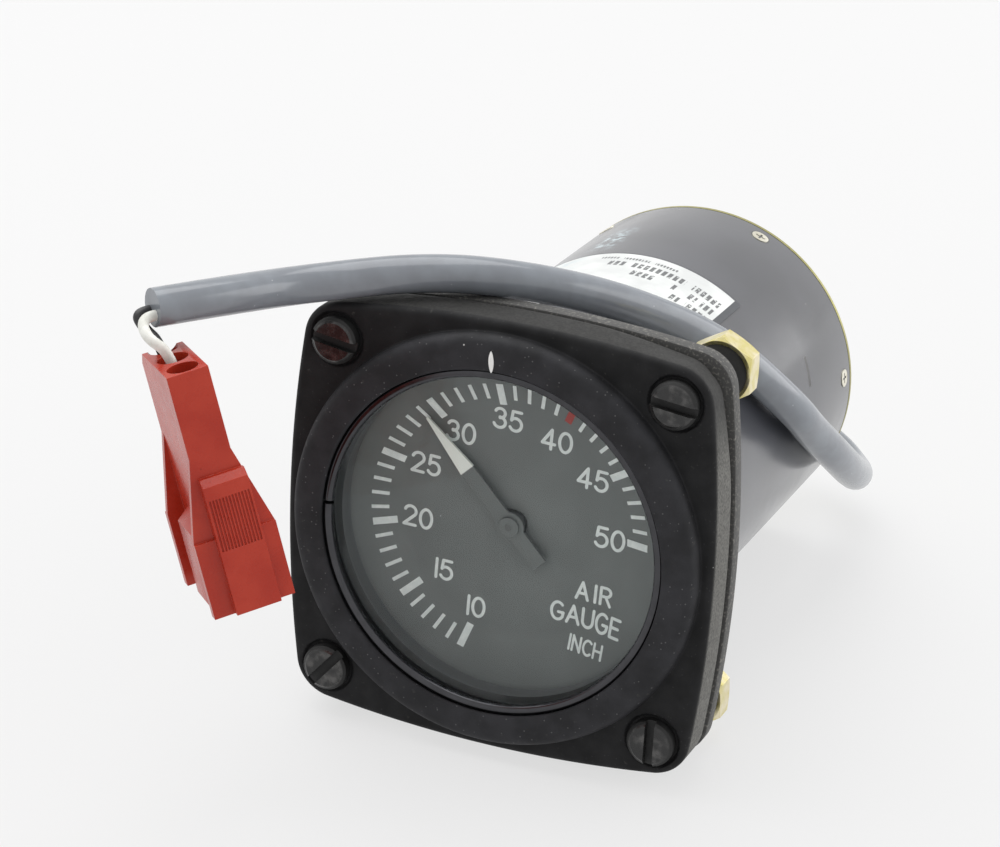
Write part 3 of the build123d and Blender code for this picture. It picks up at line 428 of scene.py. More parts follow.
DIAL_HOLE, DIAL_EDGE = 2.0, 23.5
DIAL_FLAT, DIAL_FLAT_RADIUS = 6.4, 16.2
DIAL_RIM, DIAL_RIM_RADIUS = 4.25, 22.6
DIAL_THICK = 0.8
dial_line = rounded([(DIAL_HOLE, DIAL_FLAT), (DIAL_FLAT_RADIUS, DIAL_FLAT), (DIAL_RIM_RADIUS, DIAL_RIM),
                     (DIAL_EDGE, DIAL_RIM), (DIAL_EDGE, DIAL_RIM + DIAL_THICK),
                     (DIAL_RIM_RADIUS, DIAL_RIM + DIAL_THICK), (DIAL_FLAT_RADIUS, DIAL_FLAT + DIAL_THICK),
                     (DIAL_HOLE, DIAL_FLAT + DIAL_THICK), (DIAL_HOLE, DIAL_FLAT)],
                    [0.8, 0.3, 0, 0, 0.3, 0.8, 0])
paint = Paint("dial grey")
tone = paint.mix(paint.noise(7, 3).ramp(0.3, 0.75), shade("707271"), shade("787a79"))
# Painted shade: the grey darkens towards the rim, where the bezel's lip shades the dial.
tone = paint.mix(paint.off_axis().ramp(0.0215, 0.0232) * 0.15, tone, shade("505150"))
tone = paint.mix(paint.specks(1.3, 0.03, 0.09) * 0.5, tone, shade("9c9c9a"))
dial_grey = paint.finish(Base_Color=tone, Roughness=0.6 + 0.2 * paint.noise(0.8, 3), Specular_IOR_Level=0.25,
                         Normal=paint.bump(paint.noise(4, 2), 0.004, 0.3))
dial = skin("dial_sheet", lathe(dial_line, 360), dial_grey)
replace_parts(dial, "dial")

# Scale marks and numbers.
# Matt white print on the dial: a mark for each unit, a wide one for each five, a red
# one at the limit, plain numbers, and a plain legend at the lower right.
dial_front = dial_line[:12].T
MARKS_SHIFT = -0.4
LIMIT_X, LIMIT_Z = 0.0075, 0.0168
NUMBER_TALL, NUMBER_STROKE, NUMBER_SPACE = 2.68, 0.44, 0.65
PRINT_TURN = 2.5


def dial_depth(radius):
    """Depth of the painted face at a distance from the axis, read along the profile from hole to rim."""
    return np.interp(radius, *dial_front)


def along_cone(places):
    """Corners moved in X, each kept as far in front of the dial's face as it was."""
    x, y, z = places.T
    moved = x + MARKS_SHIFT
    return np.column_stack([moved, y + dial_depth(np.hypot(moved, z)) - dial_depth(np.hypot(x, z)), z])


paint = Paint("dial white")
limit = paint.axis("X").off(LIMIT_X).ramp(0.0011, 0.0010) * paint.axis("Z").off(LIMIT_Z).ramp(0.0021, 0.0020)
white = paint.mix(paint.noise(0.9, 3).ramp(0.35, 0.75), shade("e6e9e8"), shade("f4f5f3"))
white = paint.mix(limit, white, shade("a8423c"))
dial_white = paint.finish(Base_Color=white, Specular_IOR_Level=0.3,
                          Roughness=0.6 + 0.15 * paint.noise(0.5, 2),
                          Normal=paint.bump(paint.noise(0.5, 2), 0.002, 0.3))
marks = reshaped(dressed("dial_ticks", "scale_marks", dial_white, 0), along_cone)


def arc(x, y, wide, tall, start, end, steps=18):
    """Points on an ellipse from one angle to another, degrees from the right, anticlockwise."""
    turn = np.radians(np.linspace(start, end, steps))
    return np.column_stack([x + wide * np.cos(turn), y + tall * np.sin(turn)])


def joined(*pieces):
    return np.vstack([np.atleast_2d(np.array(piece, float)) for piece in pieces])


STROKES = {
    "0": [arc(0.31, 0.5, 0.31, 0.5, 0, 360, 40)],
    "1": [joined((0.31, 0), (0.31, 1))],
    "2": [joined(arc(0.31, 0.72, 0.3, 0.28, 165, -35), (0.0, 0.0), (0.62, 0.0))],
    "3": [joined(arc(0.29, 0.755, 0.26, 0.245, 160, -90)), joined(arc(0.29, 0.275, 0.31, 0.275, 90, -160))],
    "4": [joined((0.47, 0), (0.47, 1), (0.0, 0.27), (0.66, 0.27))],
    "5": [joined((0.56, 1), (0.11, 1), (0.06, 0.53), arc(0.29, 0.33, 0.32, 0.33, 128, -150))],
    "A": [joined((0.0, 0), (0.34, 1), (0.68, 0)), joined((0.12, 0.34), (0.56, 0.34))],
    "I": [joined((0.12, 0), (0.12, 1))],
    "R": [joined((0, 0), (0, 1), arc(0.3, 0.74, 0.28, 0.26, 90, -90), (0, 0.48)),
          joined((0.3, 0.48), (0.6, 0))],
    "G": [joined(arc(0.36, 0.5, 0.36, 0.5, 48, 322, 30), (0.68, 0.44), (0.4, 0.44))],
    "U": [joined((0, 1), (0, 0.32), arc(0.3, 0.31, 0.3, 0.31, 190, 350), (0.6, 0.32), (0.6, 1))],
    "E": [joined((0.52, 0), (0, 0), (0, 1), (0.52, 1)), joined((0, 0.52), (0.44, 0.52))],
    "N": [joined((0, 0), (0, 1), (0.6, 0), (0.6, 1))],
    "C": [joined(arc(0.36, 0.5, 0.36, 0.5, 48, 312, 30))],
    "H": [joined((0, 0), (0, 1)), joined((0.6, 0), (0.6, 1)), joined((0, 0.52), (0.6, 0.52))],
}


def ribbon(path, width):
    """Outlines of flat strips of that width, one along each straight run of a path, with round ends."""
    path = path[np.r_[True, np.linalg.norm(np.diff(path, axis=0), axis=1) > 1e-6]]
    turn = np.linspace(-np.pi / 2, np.pi / 2, 7)
    cap = np.column_stack([np.cos(turn), np.sin(turn)]) * width / 2
    outlines = []
    for a, b in zip(path, path[1:]):
        along = unit(b - a)
        basis = np.array([along, [-along[1], along[0]]])
        outlines.append(np.vstack([b + cap @ basis, a - cap @ basis]))
    return outlines


def lettering(name, words, material):
    """Stroke letters as flat strips, each a hair above the one before. A word is its text, the x and z of
    its centre, its height, its stroke and the space between its letters."""
    points, faces = [], []
    cosine, sine = np.cos(np.radians(PRINT_TURN)), np.sin(np.radians(PRINT_TURN))
    for text, x, z, tall, stroke, spacing in words:
        widths = [max(path[:, 0].max() for path in STROKES[character]) for character in text]
        left = -(sum(widths) * tall + spacing * (len(text) - 1)) / 2
        for character, wide in zip(text, widths):
            for path in STROKES[character]:
                local = path * tall + np.array([left, -tall / 2])
                placed = np.column_stack([x + local[:, 0] * cosine + local[:, 1] * sine,
                                          z - local[:, 0] * sine + local[:, 1] * cosine])
                for outline in ribbon(placed, stroke):
                    lift = 0.02 + 0.0005 * ((len(faces) + 1) % 20)
                    depth = dial_depth(np.hypot(*outline.T)) - lift
                    faces.append(list(range(len(points), len(points) + len(outline))))
                    points.extend((np.column_stack([outline[:, 0], depth, outline[:, 1]]) * MM).tolist())
            left += wide * tall + spacing
    mesh = bpy.data.meshes.new(name)
    mesh.from_pydata(points, [], faces)
    mesh.materials.append(material)
    piece = bpy.data.objects.new(name, mesh)
    bpy.context.scene.collection.objects.link(piece)
    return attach(piece, "base")


numbers = [("10", -5.2, -13.2), ("15", -10.1, -8.8), ("20", -13.8, -2.0), ("25", -12.95, 5.9),
           ("30", -8.1, 11.35), ("35", -1.5, 14.4), ("40", 5.5, 12.8), ("45", 10.8, 8.45), ("50", 13.65, 0.6)]
numbers = [(*number, NUMBER_TALL, NUMBER_STROKE, NUMBER_SPACE) for number in numbers]
legend = [("AIR", 11.9, -7.6, 2.4, 0.42, 0.75), ("GAUGE", 11.1, -11.3, 2.5, 0.42, 0.55),
          ("INCH", 11.4, -15.1, 1.9, 0.34, 0.5)]
print_work = lettering("dial_numbers", numbers + legend, dial_white)

# Pointer.
# A thin blade on a pressed hub: the outer part is white, the inner part and the tail
# are in the dial's grey, so that only the white is read.
POINTER_TURN = np.radians(-43.9)
WHITE_FROM = 0.0092
paint = Paint("pointer paint")
along = paint.axis("X") * float(np.sin(POINTER_TURN)) + paint.axis("Z") * float(np.cos(POINTER_TURN))
tone = paint.mix(along.ramp(WHITE_FROM, WHITE_FROM + 0.0002), shade("6c6e6d"), shade("f4f4ee"))
pointer_paint = paint.finish(Base_Color=tone, Specular_IOR_Level=0.3,
                             Roughness=0.5 + 0.15 * paint.noise(0.6, 2))
pointer = dressed("pointer", "pointer_blade", pointer_paint, 0.05, body="pointer_set")

# Glass.
# A flat polished window, 2 mm thick, with a little dust on it.
GLASS_RADIUS, GLASS_FRONT, GLASS_BACK, GLASS_POLE = 24.0, -0.3, 1.7, 0.001
glass_line = rounded([(GLASS_POLE, GLASS_FRONT), (GLASS_RADIUS, GLASS_FRONT), (GLASS_RADIUS, GLASS_BACK),
                      (GLASS_POLE, GLASS_BACK)], [0.15, 0.15], 3)
paint = Paint("clear glass")
edge_on = paint.node("ShaderNodeLayerWeight", {}, {"Blend": 0.5}, "Facing").math("POWER", 5.0)
share = 0.012 + 0.9 * edge_on + 0.35 * paint.specks(2.6, 0.10, 0.045)
clear = paint.node("ShaderNodeBsdfTransparent", {}, {"Color": (0.97, 0.985, 0.98, 1)})
polish = paint.principled(Base_Color=(0.86, 0.9, 0.96, 1), Metallic=1.0, Roughness=0.03)
clear_glass = paint.show(paint.node("ShaderNodeMixShader", {}, {0: share, 1: clear, 2: polish}))
glass = skin("window", lathe(glass_line, 192), clear_glass)
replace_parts(glass, "glass")

# Seals.
# Black rubber rings between the flanges and in the cover's groove, and a grey one
# under the glass.
paint = Paint("black rubber")
rubber = paint.finish(Base_Color=paint.mix(paint.noise(0.9, 3), shade("161616"), shade("242424")),
                      Roughness=0.6 + 0.2 * paint.noise(0.5, 2),
                      Normal=paint.bump(paint.noise(0.4, 2), 0.01, 0.5))
for node in ("flange_gasket", "cover_seal"):
    painted(node, rubber)
paint = Paint("grey seal")
tone = paint.mix(paint.noise(0.9, 3), shade("626364"), shade("6e6f70"))
painted("glass_gasket", paint.finish(Base_Color=tone, Roughness=0.6 + 0.2 * paint.noise(0.5, 2)))

# Split ring.
# Round black spring wire, sprung into the groove of the bezel in front of the glass;
# its ends leave a narrow gap at nine o'clock.


def wire_ring(radius, depth, wire, start, end, steps=300, around=16):
    """Round wire bent about Y: the circle of the section carried along an arc of the ring."""
    turn = np.radians(np.linspace(start, end, steps))[:, None]
    section = np.linspace(0, 2 * np.pi, around, endpoint=False)[None, :]
    out = radius + wire / 2 * np.cos(section)
    lengthwise = depth + wire / 2 * np.sin(section) + 0 * turn
    return np.stack([out * np.cos(turn), lengthwise, out * np.sin(turn)], axis=-1)


RING_RADIUS, RING_DEPTH, RING_WIRE = 23.45, -1.3, 1.4
RING_START, RING_END = 177.6, 536.4
paint = Paint("blackened wire")
tone = paint.mix(paint.noise(1.4, 3), shade("3a3a3c"), shade("4c4c4f"))
dark_ring = paint.finish(Base_Color=tone, Metallic=0.9, Roughness=0.14 + 0.12 * paint.noise(0.7, 3))
ring = skin("split_ring", wire_ring(RING_RADIUS, RING_DEPTH, RING_WIRE, RING_START, RING_END), dark_ring,
            caps=True)
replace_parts(ring, "snap_ring")

# Bezel.
# One black moulding: a square flange with four bowed sides, a round pilot ring raised
# on it, the seat of the glass inside, and a shallow spot face at each screw.


def flange_reach(turn, half, bow, corner):
    """Distance from the axis to the outline of a square with bowed sides and round corners, by angle."""
    turn = np.mod(turn + np.pi / 4, np.pi / 2) - np.pi / 4
    shift = bow - half
    side = -shift * np.cos(turn) + np.sqrt(bow ** 2 - (shift * np.sin(turn)) ** 2)
    centre = (-2 * shift + np.sqrt(4 * shift ** 2 - 8 * (shift ** 2 - (bow - corner) ** 2))) / 4
    tangent = np.arctan2(bow / (bow - corner) * centre, -shift + bow / (bow - corner) * (centre + shift))
    far = centre * np.sqrt(2)
    off = np.pi / 4 - np.abs(turn)
    inside = np.clip(corner ** 2 - (far * np.sin(off)) ** 2, 0, None)
    return np.where(np.abs(turn) > tangent, far * np.cos(off) + np.sqrt(inside), side)


SCREW_HALF = 23.57
SCREWS = [(x * SCREW_HALF, z * SCREW_HALF) for z in (1, -1) for x in (-1, 1)]
FLANGE_BOW = 170.0
BEZEL_HALF, BEZEL_CORNER, BEZEL_REAR = 30.15, 5.4, 6.6
EDGE_ROUND = 0.9
RING_FOOT = 29.2
SPOT_RADIUS, SPOT_WALL, SPOT_DEPTH = 3.5, 0.35, 0.5
LIFT, LIFT_DEGREES = 1.3, 24
turn = np.linspace(0, 2 * np.pi, 880, endpoint=False)
edge = flange_reach(turn, BEZEL_HALF, FLANGE_BOW, BEZEL_CORNER)
ring_line = rounded([(23.6, BEZEL_REAR), (23.6, 4.25), (22.9, 4.25), (22.9, 2.1), (24.25, 2.1),
                     (24.25, -1.85), (23.95, -2.05), (24.15, -2.5), (26.2, -2.65), (28.0, -2.3),
                     (28.6, -1.1), (28.6, 0.0), (RING_FOOT, 0.0)],
                    [0, 0, 0, 0, 0.1, 0.2, 0.3, 1.6, 0.9, 0.7, 0.3], 5)
bezel_rows = [row_round(np.minimum(radius, edge - 1.0), depth, turn) for radius, depth in ring_line]
inner_reach = np.minimum(RING_FOOT, edge - 1.0)
for share in np.linspace(0, 1, 34)[1:]:
    reach = inner_reach + (edge - EDGE_ROUND - inner_reach) * share
    away = np.min([np.hypot(reach * np.cos(turn) - x, reach * np.sin(turn) - z) for x, z in SCREWS], axis=0)
    sink = 1 - np.clip((away - SPOT_RADIUS) / SPOT_WALL, 0, 1)
    bezel_rows.append(row_round(reach, SPOT_DEPTH * sink ** 2 * (3 - 2 * sink), turn))
for bend in np.radians(np.linspace(0, 90, 7)[1:]):
    bezel_rows.append(row_round(edge - EDGE_ROUND + EDGE_ROUND * np.sin(bend),
                                EDGE_ROUND - EDGE_ROUND * np.cos(bend), turn))
off_corner = np.abs(np.degrees(np.arctan2(np.sin(turn - np.pi / 4), np.cos(turn - np.pi / 4))))
lifted = np.clip((LIFT_DEGREES - off_corner) / LIFT_DEGREES, 0, 1) ** 1.5
for inset, depth in ((0, 3.0), (0, 5.4), (0.06, 6.0), (0.3, 6.45), (0.7, BEZEL_REAR)):
    tapered = lifted * LIFT * (depth - EDGE_ROUND) / (BEZEL_REAR - EDGE_ROUND)
    bezel_rows.append(row_round(edge - inset - tapered, depth, turn))
bezel_rows.append(bezel_rows[0])
paint = Paint("black moulding")
y, radius = paint.axis("Y"), paint.off_axis()
on_ring = radius.ramp(0.0288, 0.0284)
cloudy = paint.noise(4, 4).ramp(0.3, 0.75)
flange_tone = paint.mix(cloudy, shade("171718"), shade("232324"))
ring_tone = paint.mix(cloudy, shade("252527"), shade("323235"))
tone = paint.mix(on_ring, flange_tone, ring_tone)
dusty = paint.specks(0.55, 0.22, 0.22) * (0.2 + 0.8 * on_ring)
tone = paint.mix(dusty * 0.3, tone, shade("858585"))
tone = paint.mix(paint.specks(2.3, 0.10, 0.06), tone, shade("bcbcba"))
tone = paint.mix(paint.noise(0.9, 5, paint.stretched(1, 0.3, 1)).ramp(0.64, 0.8) * 0.4, tone, shade("54534f"))
# Paler sides of the flange: partly rubbed paint, partly a painted highlight that is strongest on the right
# and lower sides.
rubbed_and_lit_sides = y.ramp(0.0004, 0.0012) * y.ramp(0.0066, 0.0062) * radius.ramp(0.0296, 0.0300)
rubbed_and_lit_sides = rubbed_and_lit_sides * (0.2 + 0.8 * (paint.axis("X") - paint.axis("Z")).ramp(0.004, 0.016))
rubbed_and_lit_sides = rubbed_and_lit_sides * (0.4 + 0.6 * paint.noise(0.35, 3).ramp(0.3, 0.7))
tone = paint.mix(rubbed_and_lit_sides, tone, shade("6e6d69"))
ledge = radius.ramp(0.0244, 0.0243) * y.ramp(0.0018, 0.0019)
tone = paint.mix(ledge, tone, shade("6a6b6c"))
moulding = paint.finish(Base_Color=tone, Roughness=0.5 + 0.25 * paint.noise(1.2, 4), Specular_IOR_Level=0.16,
                        Normal=paint.bump(paint.noise(0.28, 3) + 0.4 * paint.noise(2.5, 3), 0.03, 0.6))
bezel = skin("bezel_moulding", bezel_rows, moulding)
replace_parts(bezel, "bezel")

# Index mark.
# A white printed lozenge on the ring, at the top, which follows the ring's round nose.
MARK_INNER, MARK_OUTER, MARK_HALF = 23.98, 27.0, 0.36
MARK_TURN = np.radians(-1.3)
paint = Paint("index white")
index_white = paint.finish(Base_Color=paint.mix(paint.noise(0.8, 3), shade("e4e4e2"), shade("f2f2f0")),
                           Roughness=0.5 + 0.1 * paint.noise(0.5, 2))
share = np.linspace(0, 1, 26)[:, None]
out = MARK_INNER + (MARK_OUTER - MARK_INNER) * share
aside = MARK_HALF * np.sin(np.pi * share) ** 0.62 * np.linspace(-1, 1, 5)
depth = -2.53 - 0.16 * np.clip((out - 24.2) / 2.0, 0, 1) + 0 * aside
index_rows = np.stack([out * np.sin(MARK_TURN) + aside * np.cos(MARK_TURN), depth,
                       out * np.cos(MARK_TURN) - aside * np.sin(MARK_TURN)], axis=-1)
index_mark = skin("index_mark", index_rows, index_white, wrap=False)

# Corner screws, collars and nuts.
# Slotted screws in worn black oxide, a black collar on each behind the case flange,
# and hexagon nuts with a yellow chromate finish.
HEAD_RADIUS, HEAD_REAR = 3.2, 1.0
SLOT_HALF, SLOT_WIDER, SLOT_END = 0.45, 1.45, 2.9
SLOT_TURNS, MORE_TURNS = (-22, -15, 32, 84), (13, 8, 17.5, 5.5)
SCREW_REACH = 4
NUT_MOVED = np.array([0.5, 0, -0.45])


def turned_by(degrees, x, z, middle=(0, 0)):
    """Two coordinates after a turn about Y, x cos - z sin and x sin + z cos, counted from a middle."""
    cosine, sine = np.cos(np.radians(degrees)), np.sin(np.radians(degrees))
    return middle[0] + x * cosine - z * sine, middle[1] + x * sine + z * cosine


def slots_set(places):
    """Each screw is turned on about its own axis, and the walls of its slot go out by a share of the
    slot's width, with their ends kept on the round of the head."""
    for (x, z), before, more in zip(SCREWS, SLOT_TURNS, MORE_TURNS):
        mine = np.hypot(places[:, 0] - x, places[:, 2] - z) < SCREW_REACH
        along, aside = turned_by(-before, places[mine, 0] - x, places[mine, 2] - z)
        wall = (np.abs(np.abs(aside) - SLOT_HALF) < 0.01) & (places[mine, 1] < HEAD_REAR)
        rim = wall & (np.abs(along) > SLOT_END)
        aside[wall] *= SLOT_WIDER
        along[rim] = np.sign(along[rim]) * np.sqrt(HEAD_RADIUS ** 2 - aside[rim] ** 2)
        places[mine, 0], places[mine, 2] = turned_by(more, *turned_by(before, along, aside), (x, z))
    return places


def corner_moved(places):
    """The top right nut and collar stand a little off their screw, right and down."""
    corner = (places[:, 0] > 0) & (places[:, 2] > 0)
    return places + corner[:, None] * NUT_MOVED


paint = Paint("worn black oxide")
# Painted shade: below the head's face the slots are near black, without the metal's gloss.
slot_shade = paint.axis("Y").ramp(-0.00125, -0.0011)
tone = paint.mix(paint.noise(1.6, 4).ramp(0.45, 0.75), shade("3a3a3a"), shade("5c5b5a"))
tone = paint.mix(slot_shade, tone, shade("0c0c0c"))
dark_screw = paint.finish(Base_Color=tone, Metallic=0.8 - 0.8 * slot_shade,
                          Roughness=0.16 + 0.2 * paint.noise(0.8, 3) + 0.4 * slot_shade,
                          Normal=paint.bump(paint.noise(0.9, 3), 0.008, 0.4))
screws = reshaped(dressed("mounting_screws", "corner_screws", dark_screw, 0.14), slots_set)
# The collars are near black, darker than the rubber: partly their own black, partly painted shade between the
# case flange and the nuts.
paint = Paint("black collar")
collar_black_and_shade = paint.finish(Base_Color=paint.mix(paint.noise(1, 3), shade("0a0a0a"), shade("161616")),
                            Roughness=0.7 + 0.2 * paint.noise(0.5, 2), Specular_IOR_Level=0.1)
collars = reshaped(dressed("nut_collars", "collars", collar_black_and_shade, 0.15), corner_moved)
paint = Paint("yellow chromate")
tone = paint.mix(paint.noise(1.6, 4).ramp(0.3, 0.7), shade("d8cd86"), shade("e9dfc0"))
tone = paint.mix(paint.noise(0.7, 3).ramp(0.6, 0.75) * 0.15, tone, shade("b5964a"))
yellow_nut = paint.finish(Base_Color=tone, Metallic=0.9, Roughness=0.22 + 0.2 * paint.noise(0.5, 3),
                          Normal=paint.bump(paint.noise(0.6, 3), 0.02, 0.5))
nuts = reshaped(dressed("mounting_nuts", "nuts", yellow_nut, 0.3), corner_moved)

# Case.
# One casting, flange and tube, in a slate black enamel; lugs inside carry the
# movement, and six countersunk screws hold the cover through the tube.
TUBE_OUTER, TUBE_INNER = 24.37, 22.37
TUBE_END, TUBE_STEP = 77.2, 60.0
CASE_HALF, CASE_CORNER, CASE_FLANGE_SHIFT = 30.03, 5.2, 0.3
CASE_FRONT, CASE_FLANGE_REAR = 7.2, 9.6
DEGREE_ROUND_TUBE = 0.00042533
SCRATCH_LONG, SCRATCH_TURN = 0.0597, 20.4
SMEAR_LONG, SMEAR_TURN = 0.0605, 110.0
COVER_SCREW_LONG = 0.0743
paint = Paint("slate enamel")
y, angle = paint.axis("Y"), paint.degrees()
tone = paint.mix(paint.noise(12, 3).ramp(0.3, 0.7), shade("37383d"), shade("404147"))
tone = paint.mix(paint.specks(1.9, 0.05, 0.07) * 0.6, tone, shade("a8a8a8"))
scratch = y.off(SCRATCH_LONG + 0.00009 * (angle - SCRATCH_TURN)).ramp(0.0006, 0.0004)
scratch = scratch * angle.off(SCRATCH_TURN).ramp(5.4, 4.8) * paint.noise(0.8, 3).ramp(0.32, 0.42)
tone = paint.mix(scratch, tone, shade("020202"))
smear = y.off(SMEAR_LONG).ramp(0.0075, 0.002) * angle.off(SMEAR_TURN).ramp(7.0, 2.0)
tone = paint.mix(smear * paint.noise(1.1, 5).ramp(0.4, 0.66) * 0.8, tone, shade("b9ccd2"))
# Painted shadow: a dark ring round each cover screw's head, standing for the gap of its countersink.
for screw_turn in (7, 67, 127, -173, -113, -53):
    long, across = y - COVER_SCREW_LONG, (angle - screw_turn) * DEGREE_ROUND_TUBE
    away = (long * long + across * across).math("SQRT")
    tone = paint.mix(away.ramp(0.00165, 0.00145), tone, shade("141416"))
at_flange = y.ramp(0.0100, 0.0096)
cast = paint.mix(paint.noise(0.4, 4).ramp(0.5, 0.75) * 0.6, shade("2b2a28"), shade("85827a"))
tone = paint.mix(at_flange, tone, cast)
slate = paint.finish(Base_Color=tone, IOR=1.85,
                     Roughness=0.13 + 0.07 * paint.noise(2.5, 3) + 0.6 * at_flange + 0.3 * scratch,
                     Normal=paint.bump(paint.noise(0.5, 3), 0.004, 0.4))
turn = np.linspace(0, 2 * np.pi, 600, endpoint=False)
edge = flange_reach(turn, CASE_HALF, FLANGE_BOW, CASE_CORNER)
tube = rounded([(TUBE_INNER, TUBE_STEP), (TUBE_INNER, TUBE_END), (TUBE_OUTER, TUBE_END),
                (TUBE_OUTER, TUBE_STEP), (TUBE_OUTER, CASE_FLANGE_REAR), (25.6, CASE_FLANGE_REAR)],
               [0.1, 0.3, 0, 0.7], 4)
case_rows = [row_round(radius, depth, turn) for radius, depth in tube]
for inset, depth in ((0.3, CASE_FLANGE_REAR), (0.08, 9.52), (0, 9.3),
                     (0, 7.5), (0.08, 7.28), (0.3, CASE_FRONT)):
    case_rows.append(row_round(edge - inset, depth, turn) + np.array([CASE_FLANGE_SHIFT, 0, 0]))
for radius, depth in ((23.5, CASE_FRONT), (TUBE_INNER, 7.6), (TUBE_INNER, TUBE_STEP)):
    case_rows.append(row_round(radius, depth, turn))
case = skin("case_casting", case_rows, slate)
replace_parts(case, "case_body")

# Label.
# Silver foil on the tube with a dark border strip at one end; its print is shown as
# rows of plain grey bars.
LABEL_RADIUS = TUBE_OUTER + 0.16
PRINT_ROWS = [(0.0487, 0.00035, 1.1, ((76, 84), (86, 95), (97, 103))),
              (0.0462, 0.0009, 2.1, ((57.5, 68), (71, 90), (92.5, 99))),
              (0.0431, 0.0009, 2.1, ((57.5, 62), (64, 67), (72, 73.5), (80, 88))),
              (0.0400, 0.0009, 2.1, ((57.5, 65.5), (68, 71)))]
label_turn = np.radians(np.linspace(53.0, 135.0, 90))
label_rows = [row_round(LABEL_RADIUS, depth, label_turn) for depth in np.linspace(26.0, 51.2, 12)]
paint = Paint("silver foil")
y, angle = paint.axis("Y"), paint.degrees()
foil_tone = paint.mix(paint.noise(5, 3).ramp(0.3, 0.7), shade("d2d4d3"), shade("e4e6e4"))
for middle, half, pitch, spans in PRINT_ROWS:
    cell = (angle / pitch).math("FRACT")
    letters = cell.ramp(0.14, 0.22) * (1.0 - cell.ramp(0.78, 0.86)) * paint.noise(0.5, 1).ramp(0.3, 0.42)
    line = y.off(middle).ramp(half + 0.00012, half)
    for first, last in spans:
        words = angle.off((first + last) / 2).ramp((last - first) / 2 + 0.1, (last - first) / 2)
        foil_tone = paint.mix(line * words * letters * 0.85, foil_tone, shade("3c3e41"))
border = (angle.ramp(55.6, 55.4) + y.ramp(0.0508, 0.05095)).math("MINIMUM", 1.0)
foil_tone = paint.mix(border, foil_tone, shade("4a4c50"))
worn_off = angle.ramp(104.0, 126.0) * paint.noise(2.5, 4).ramp(0.4, 0.62)
foil_tone = paint.mix(worn_off * 0.8, foil_tone, shade("a9bcc4"))
foil = paint.finish(Base_Color=foil_tone, Metallic=0.35, Roughness=0.32 + 0.2 * paint.noise(1.5, 3))
label = skin("foil_label", label_rows, foil, wrap=False)
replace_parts(label, "label_plate")

# Rear cover and its screws.
# A turned aluminium cover, chromated olive, pushed into the tube and held by six
# small cross recessed screws; it carries the pressure fitting and the cable's gland.
paint = Paint("olive chromate")
turned = (paint.off_axis() * 12000).math("SINE")
tone = paint.mix(paint.noise(7, 3).ramp(0.3, 0.7), shade("98935f"), shade("a6a170"))
tone = paint.mix(paint.specks(2.2, 0.08, 0.08) * 0.5, tone, shade("6a6640"))
olive = paint.finish(Base_Color=tone, Metallic=0.75, Roughness=0.36 + 0.12 * paint.noise(1.2, 3),
                     Normal=paint.bump(turned, 0.004, 0.5))
dressed("rear_cover", "cover", olive, 0.12)
PROUD = np.array([1.005, 1, 1.005])
small = dressed("cover_screws", "small_screws", metal("pale screws", "d4d0c0", "e6e3d6", 0.3), 0.04)
reshaped(small, lambda places: places * PROUD)
aluminium = metal("machined aluminium", "b2b4b6", "bfc1c2", 0.25)
dressed("port_fitting", "pressure_fitting", aluminium, 0.2)
dressed("cable_gland", "gland", rubber, 0.15)

# Movement.
# Three machined plates on brass pillars carry the pointer's pinion, the rocking shaft
# with its toothed sector and crank, the capsules and their bracket, and the lamps.
plate_metal = metal("machined plate", "a5a6a4", "c4c5c2", 0.35)
steel = metal("ground steel", "8d8d8d", "b5b5b5", 0.25)
copper = metal("beryllium copper", "a5703f", "c08a55", 0.25)
paint = Paint("board green")
board_green = paint.finish(Base_Color=paint.mix(paint.noise(3, 3), shade("2c5a3c"), shade("37694a")),
                           Roughness=0.4 + 0.2 * paint.noise(1, 2))
paint = Paint("lamp glass")
lamp_glass = paint.finish(Base_Color=paint.mix(paint.noise(1, 2), shade("d8d8d0"), shade("e6e6de")),
                          Roughness=0.2 + 0.1 * paint.noise(1, 2))
paint = Paint("pinion steel")
front = paint.axis("Y").ramp(0.0066, 0.0064)
tone = paint.mix(front, shade("9d9d9d"), shade("5b5c5b"))
pinion_steel = paint.finish(Base_Color=tone, Metallic=1.0 - front, Roughness=0.35 + 0.2 * paint.noise(0.5, 3))
for node in ("front_plate", "middle_plate", "rear_plate", "capsule_bracket"):
    painted(node, plate_metal)
for node in ("plate_pillars", "sector_gear", "crank_arm", "hairspring"):
    painted(node, brass)
for node in ("movement_screws", "rocking_shaft", "capsule_link"):
    painted(node, steel)
painted("pinion_shaft", pinion_steel)
painted("capsule_stack", copper)
painted("lamp_board", board_green)
painted("lamps", lamp_glass)
painted("lamp_leads", insulation("lead insulation", "d2d2ca", "eeeee8"))

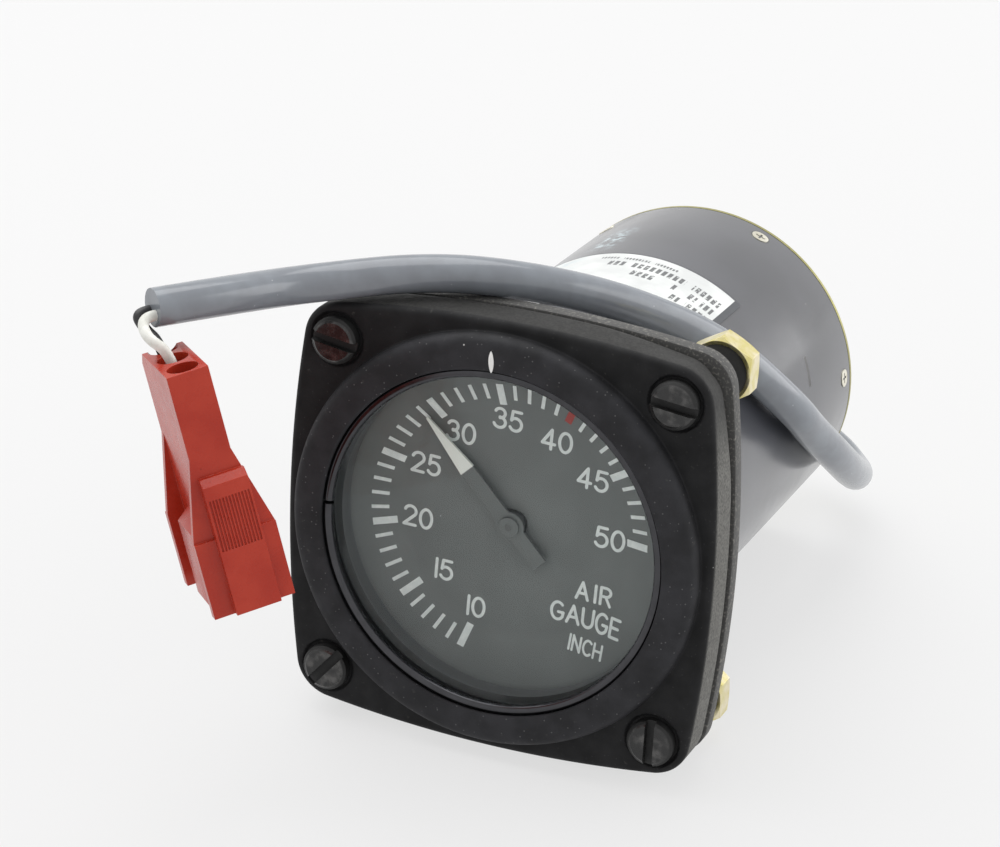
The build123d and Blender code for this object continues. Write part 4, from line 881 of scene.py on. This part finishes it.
# Table.
# A plain white table under the flange's edge and the rim of the case.
SLOPE, DROP, REACH = 0.0819, -0.0308, 3.0
table_mesh = bpy.data.meshes.new("table")
table_mesh.from_pydata([(x * REACH, y * REACH, DROP + y * SLOPE * REACH)
                        for x, y in ((-1, -1), (1, -1), (1, 1), (-1, 1))], [], [(0, 1, 2, 3)])
table = bpy.data.objects.new("table", table_mesh)
table_mesh.materials.append(Paint("table white").finish(
    Base_Color=(0.175, 0.175, 0.175, 1), Roughness=0.6, Specular_IOR_Level=0.1,
    Emission_Color=(1, 1, 1, 1), Emission_Strength=0.66))
bpy.context.scene.collection.objects.link(table)

# Light.
# A white room all round, one large soft lamp overhead and one low at the right. What
# the camera, metal and glass see of the room is a little brighter than its light.
ROOM_LIGHT, ROOM_SEEN = 0.72, 0.955


def soft_lamp(name, wide, tall, energy, location, degrees, shown=True):
    """Rectangular lamp: its sides in metres, its strength in watts, its place and its turns."""
    data = bpy.data.lights.new(name, "AREA")
    data.shape = "RECTANGLE"
    data.size, data.size_y = wide, tall
    data.energy = energy
    lamp = bpy.data.objects.new(name, data)
    lamp.location = location
    lamp.rotation_euler = np.radians(degrees).tolist()
    lamp.visible_camera = shown
    bpy.context.scene.collection.objects.link(lamp)


room = Paint("room", bpy.data.worlds, "ShaderNodeOutputWorld")
camera_ray, glossy_ray, clear_ray = [room.node("ShaderNodeLightPath", {}, {}, f"Is {kind} Ray")
                                     for kind in ("Camera", "Glossy", "Transmission")]
seen = camera_ray.math("MAXIMUM", glossy_ray).math("MAXIMUM", clear_ray)
strength = room.node("ShaderNodeMapRange", {}, {"Value": seen, "To Min": ROOM_LIGHT, "To Max": ROOM_SEEN})
bpy.context.scene.world = room.show(
    room.node("ShaderNodeBackground", {}, {"Color": (1, 1, 1, 1), "Strength": strength}))
soft_lamp("overhead", 1.2, 1.0, 9, (-0.35, 0.15, 0.9), (-10, -21, 0))
soft_lamp("side", 0.9, 0.7, 4, (0.6, 0.42, 0.2), (76, 0, 122), shown=False)

# Picture settings.
# Colours go out as they are.
bpy.context.scene.view_settings.view_transform = "Standard"
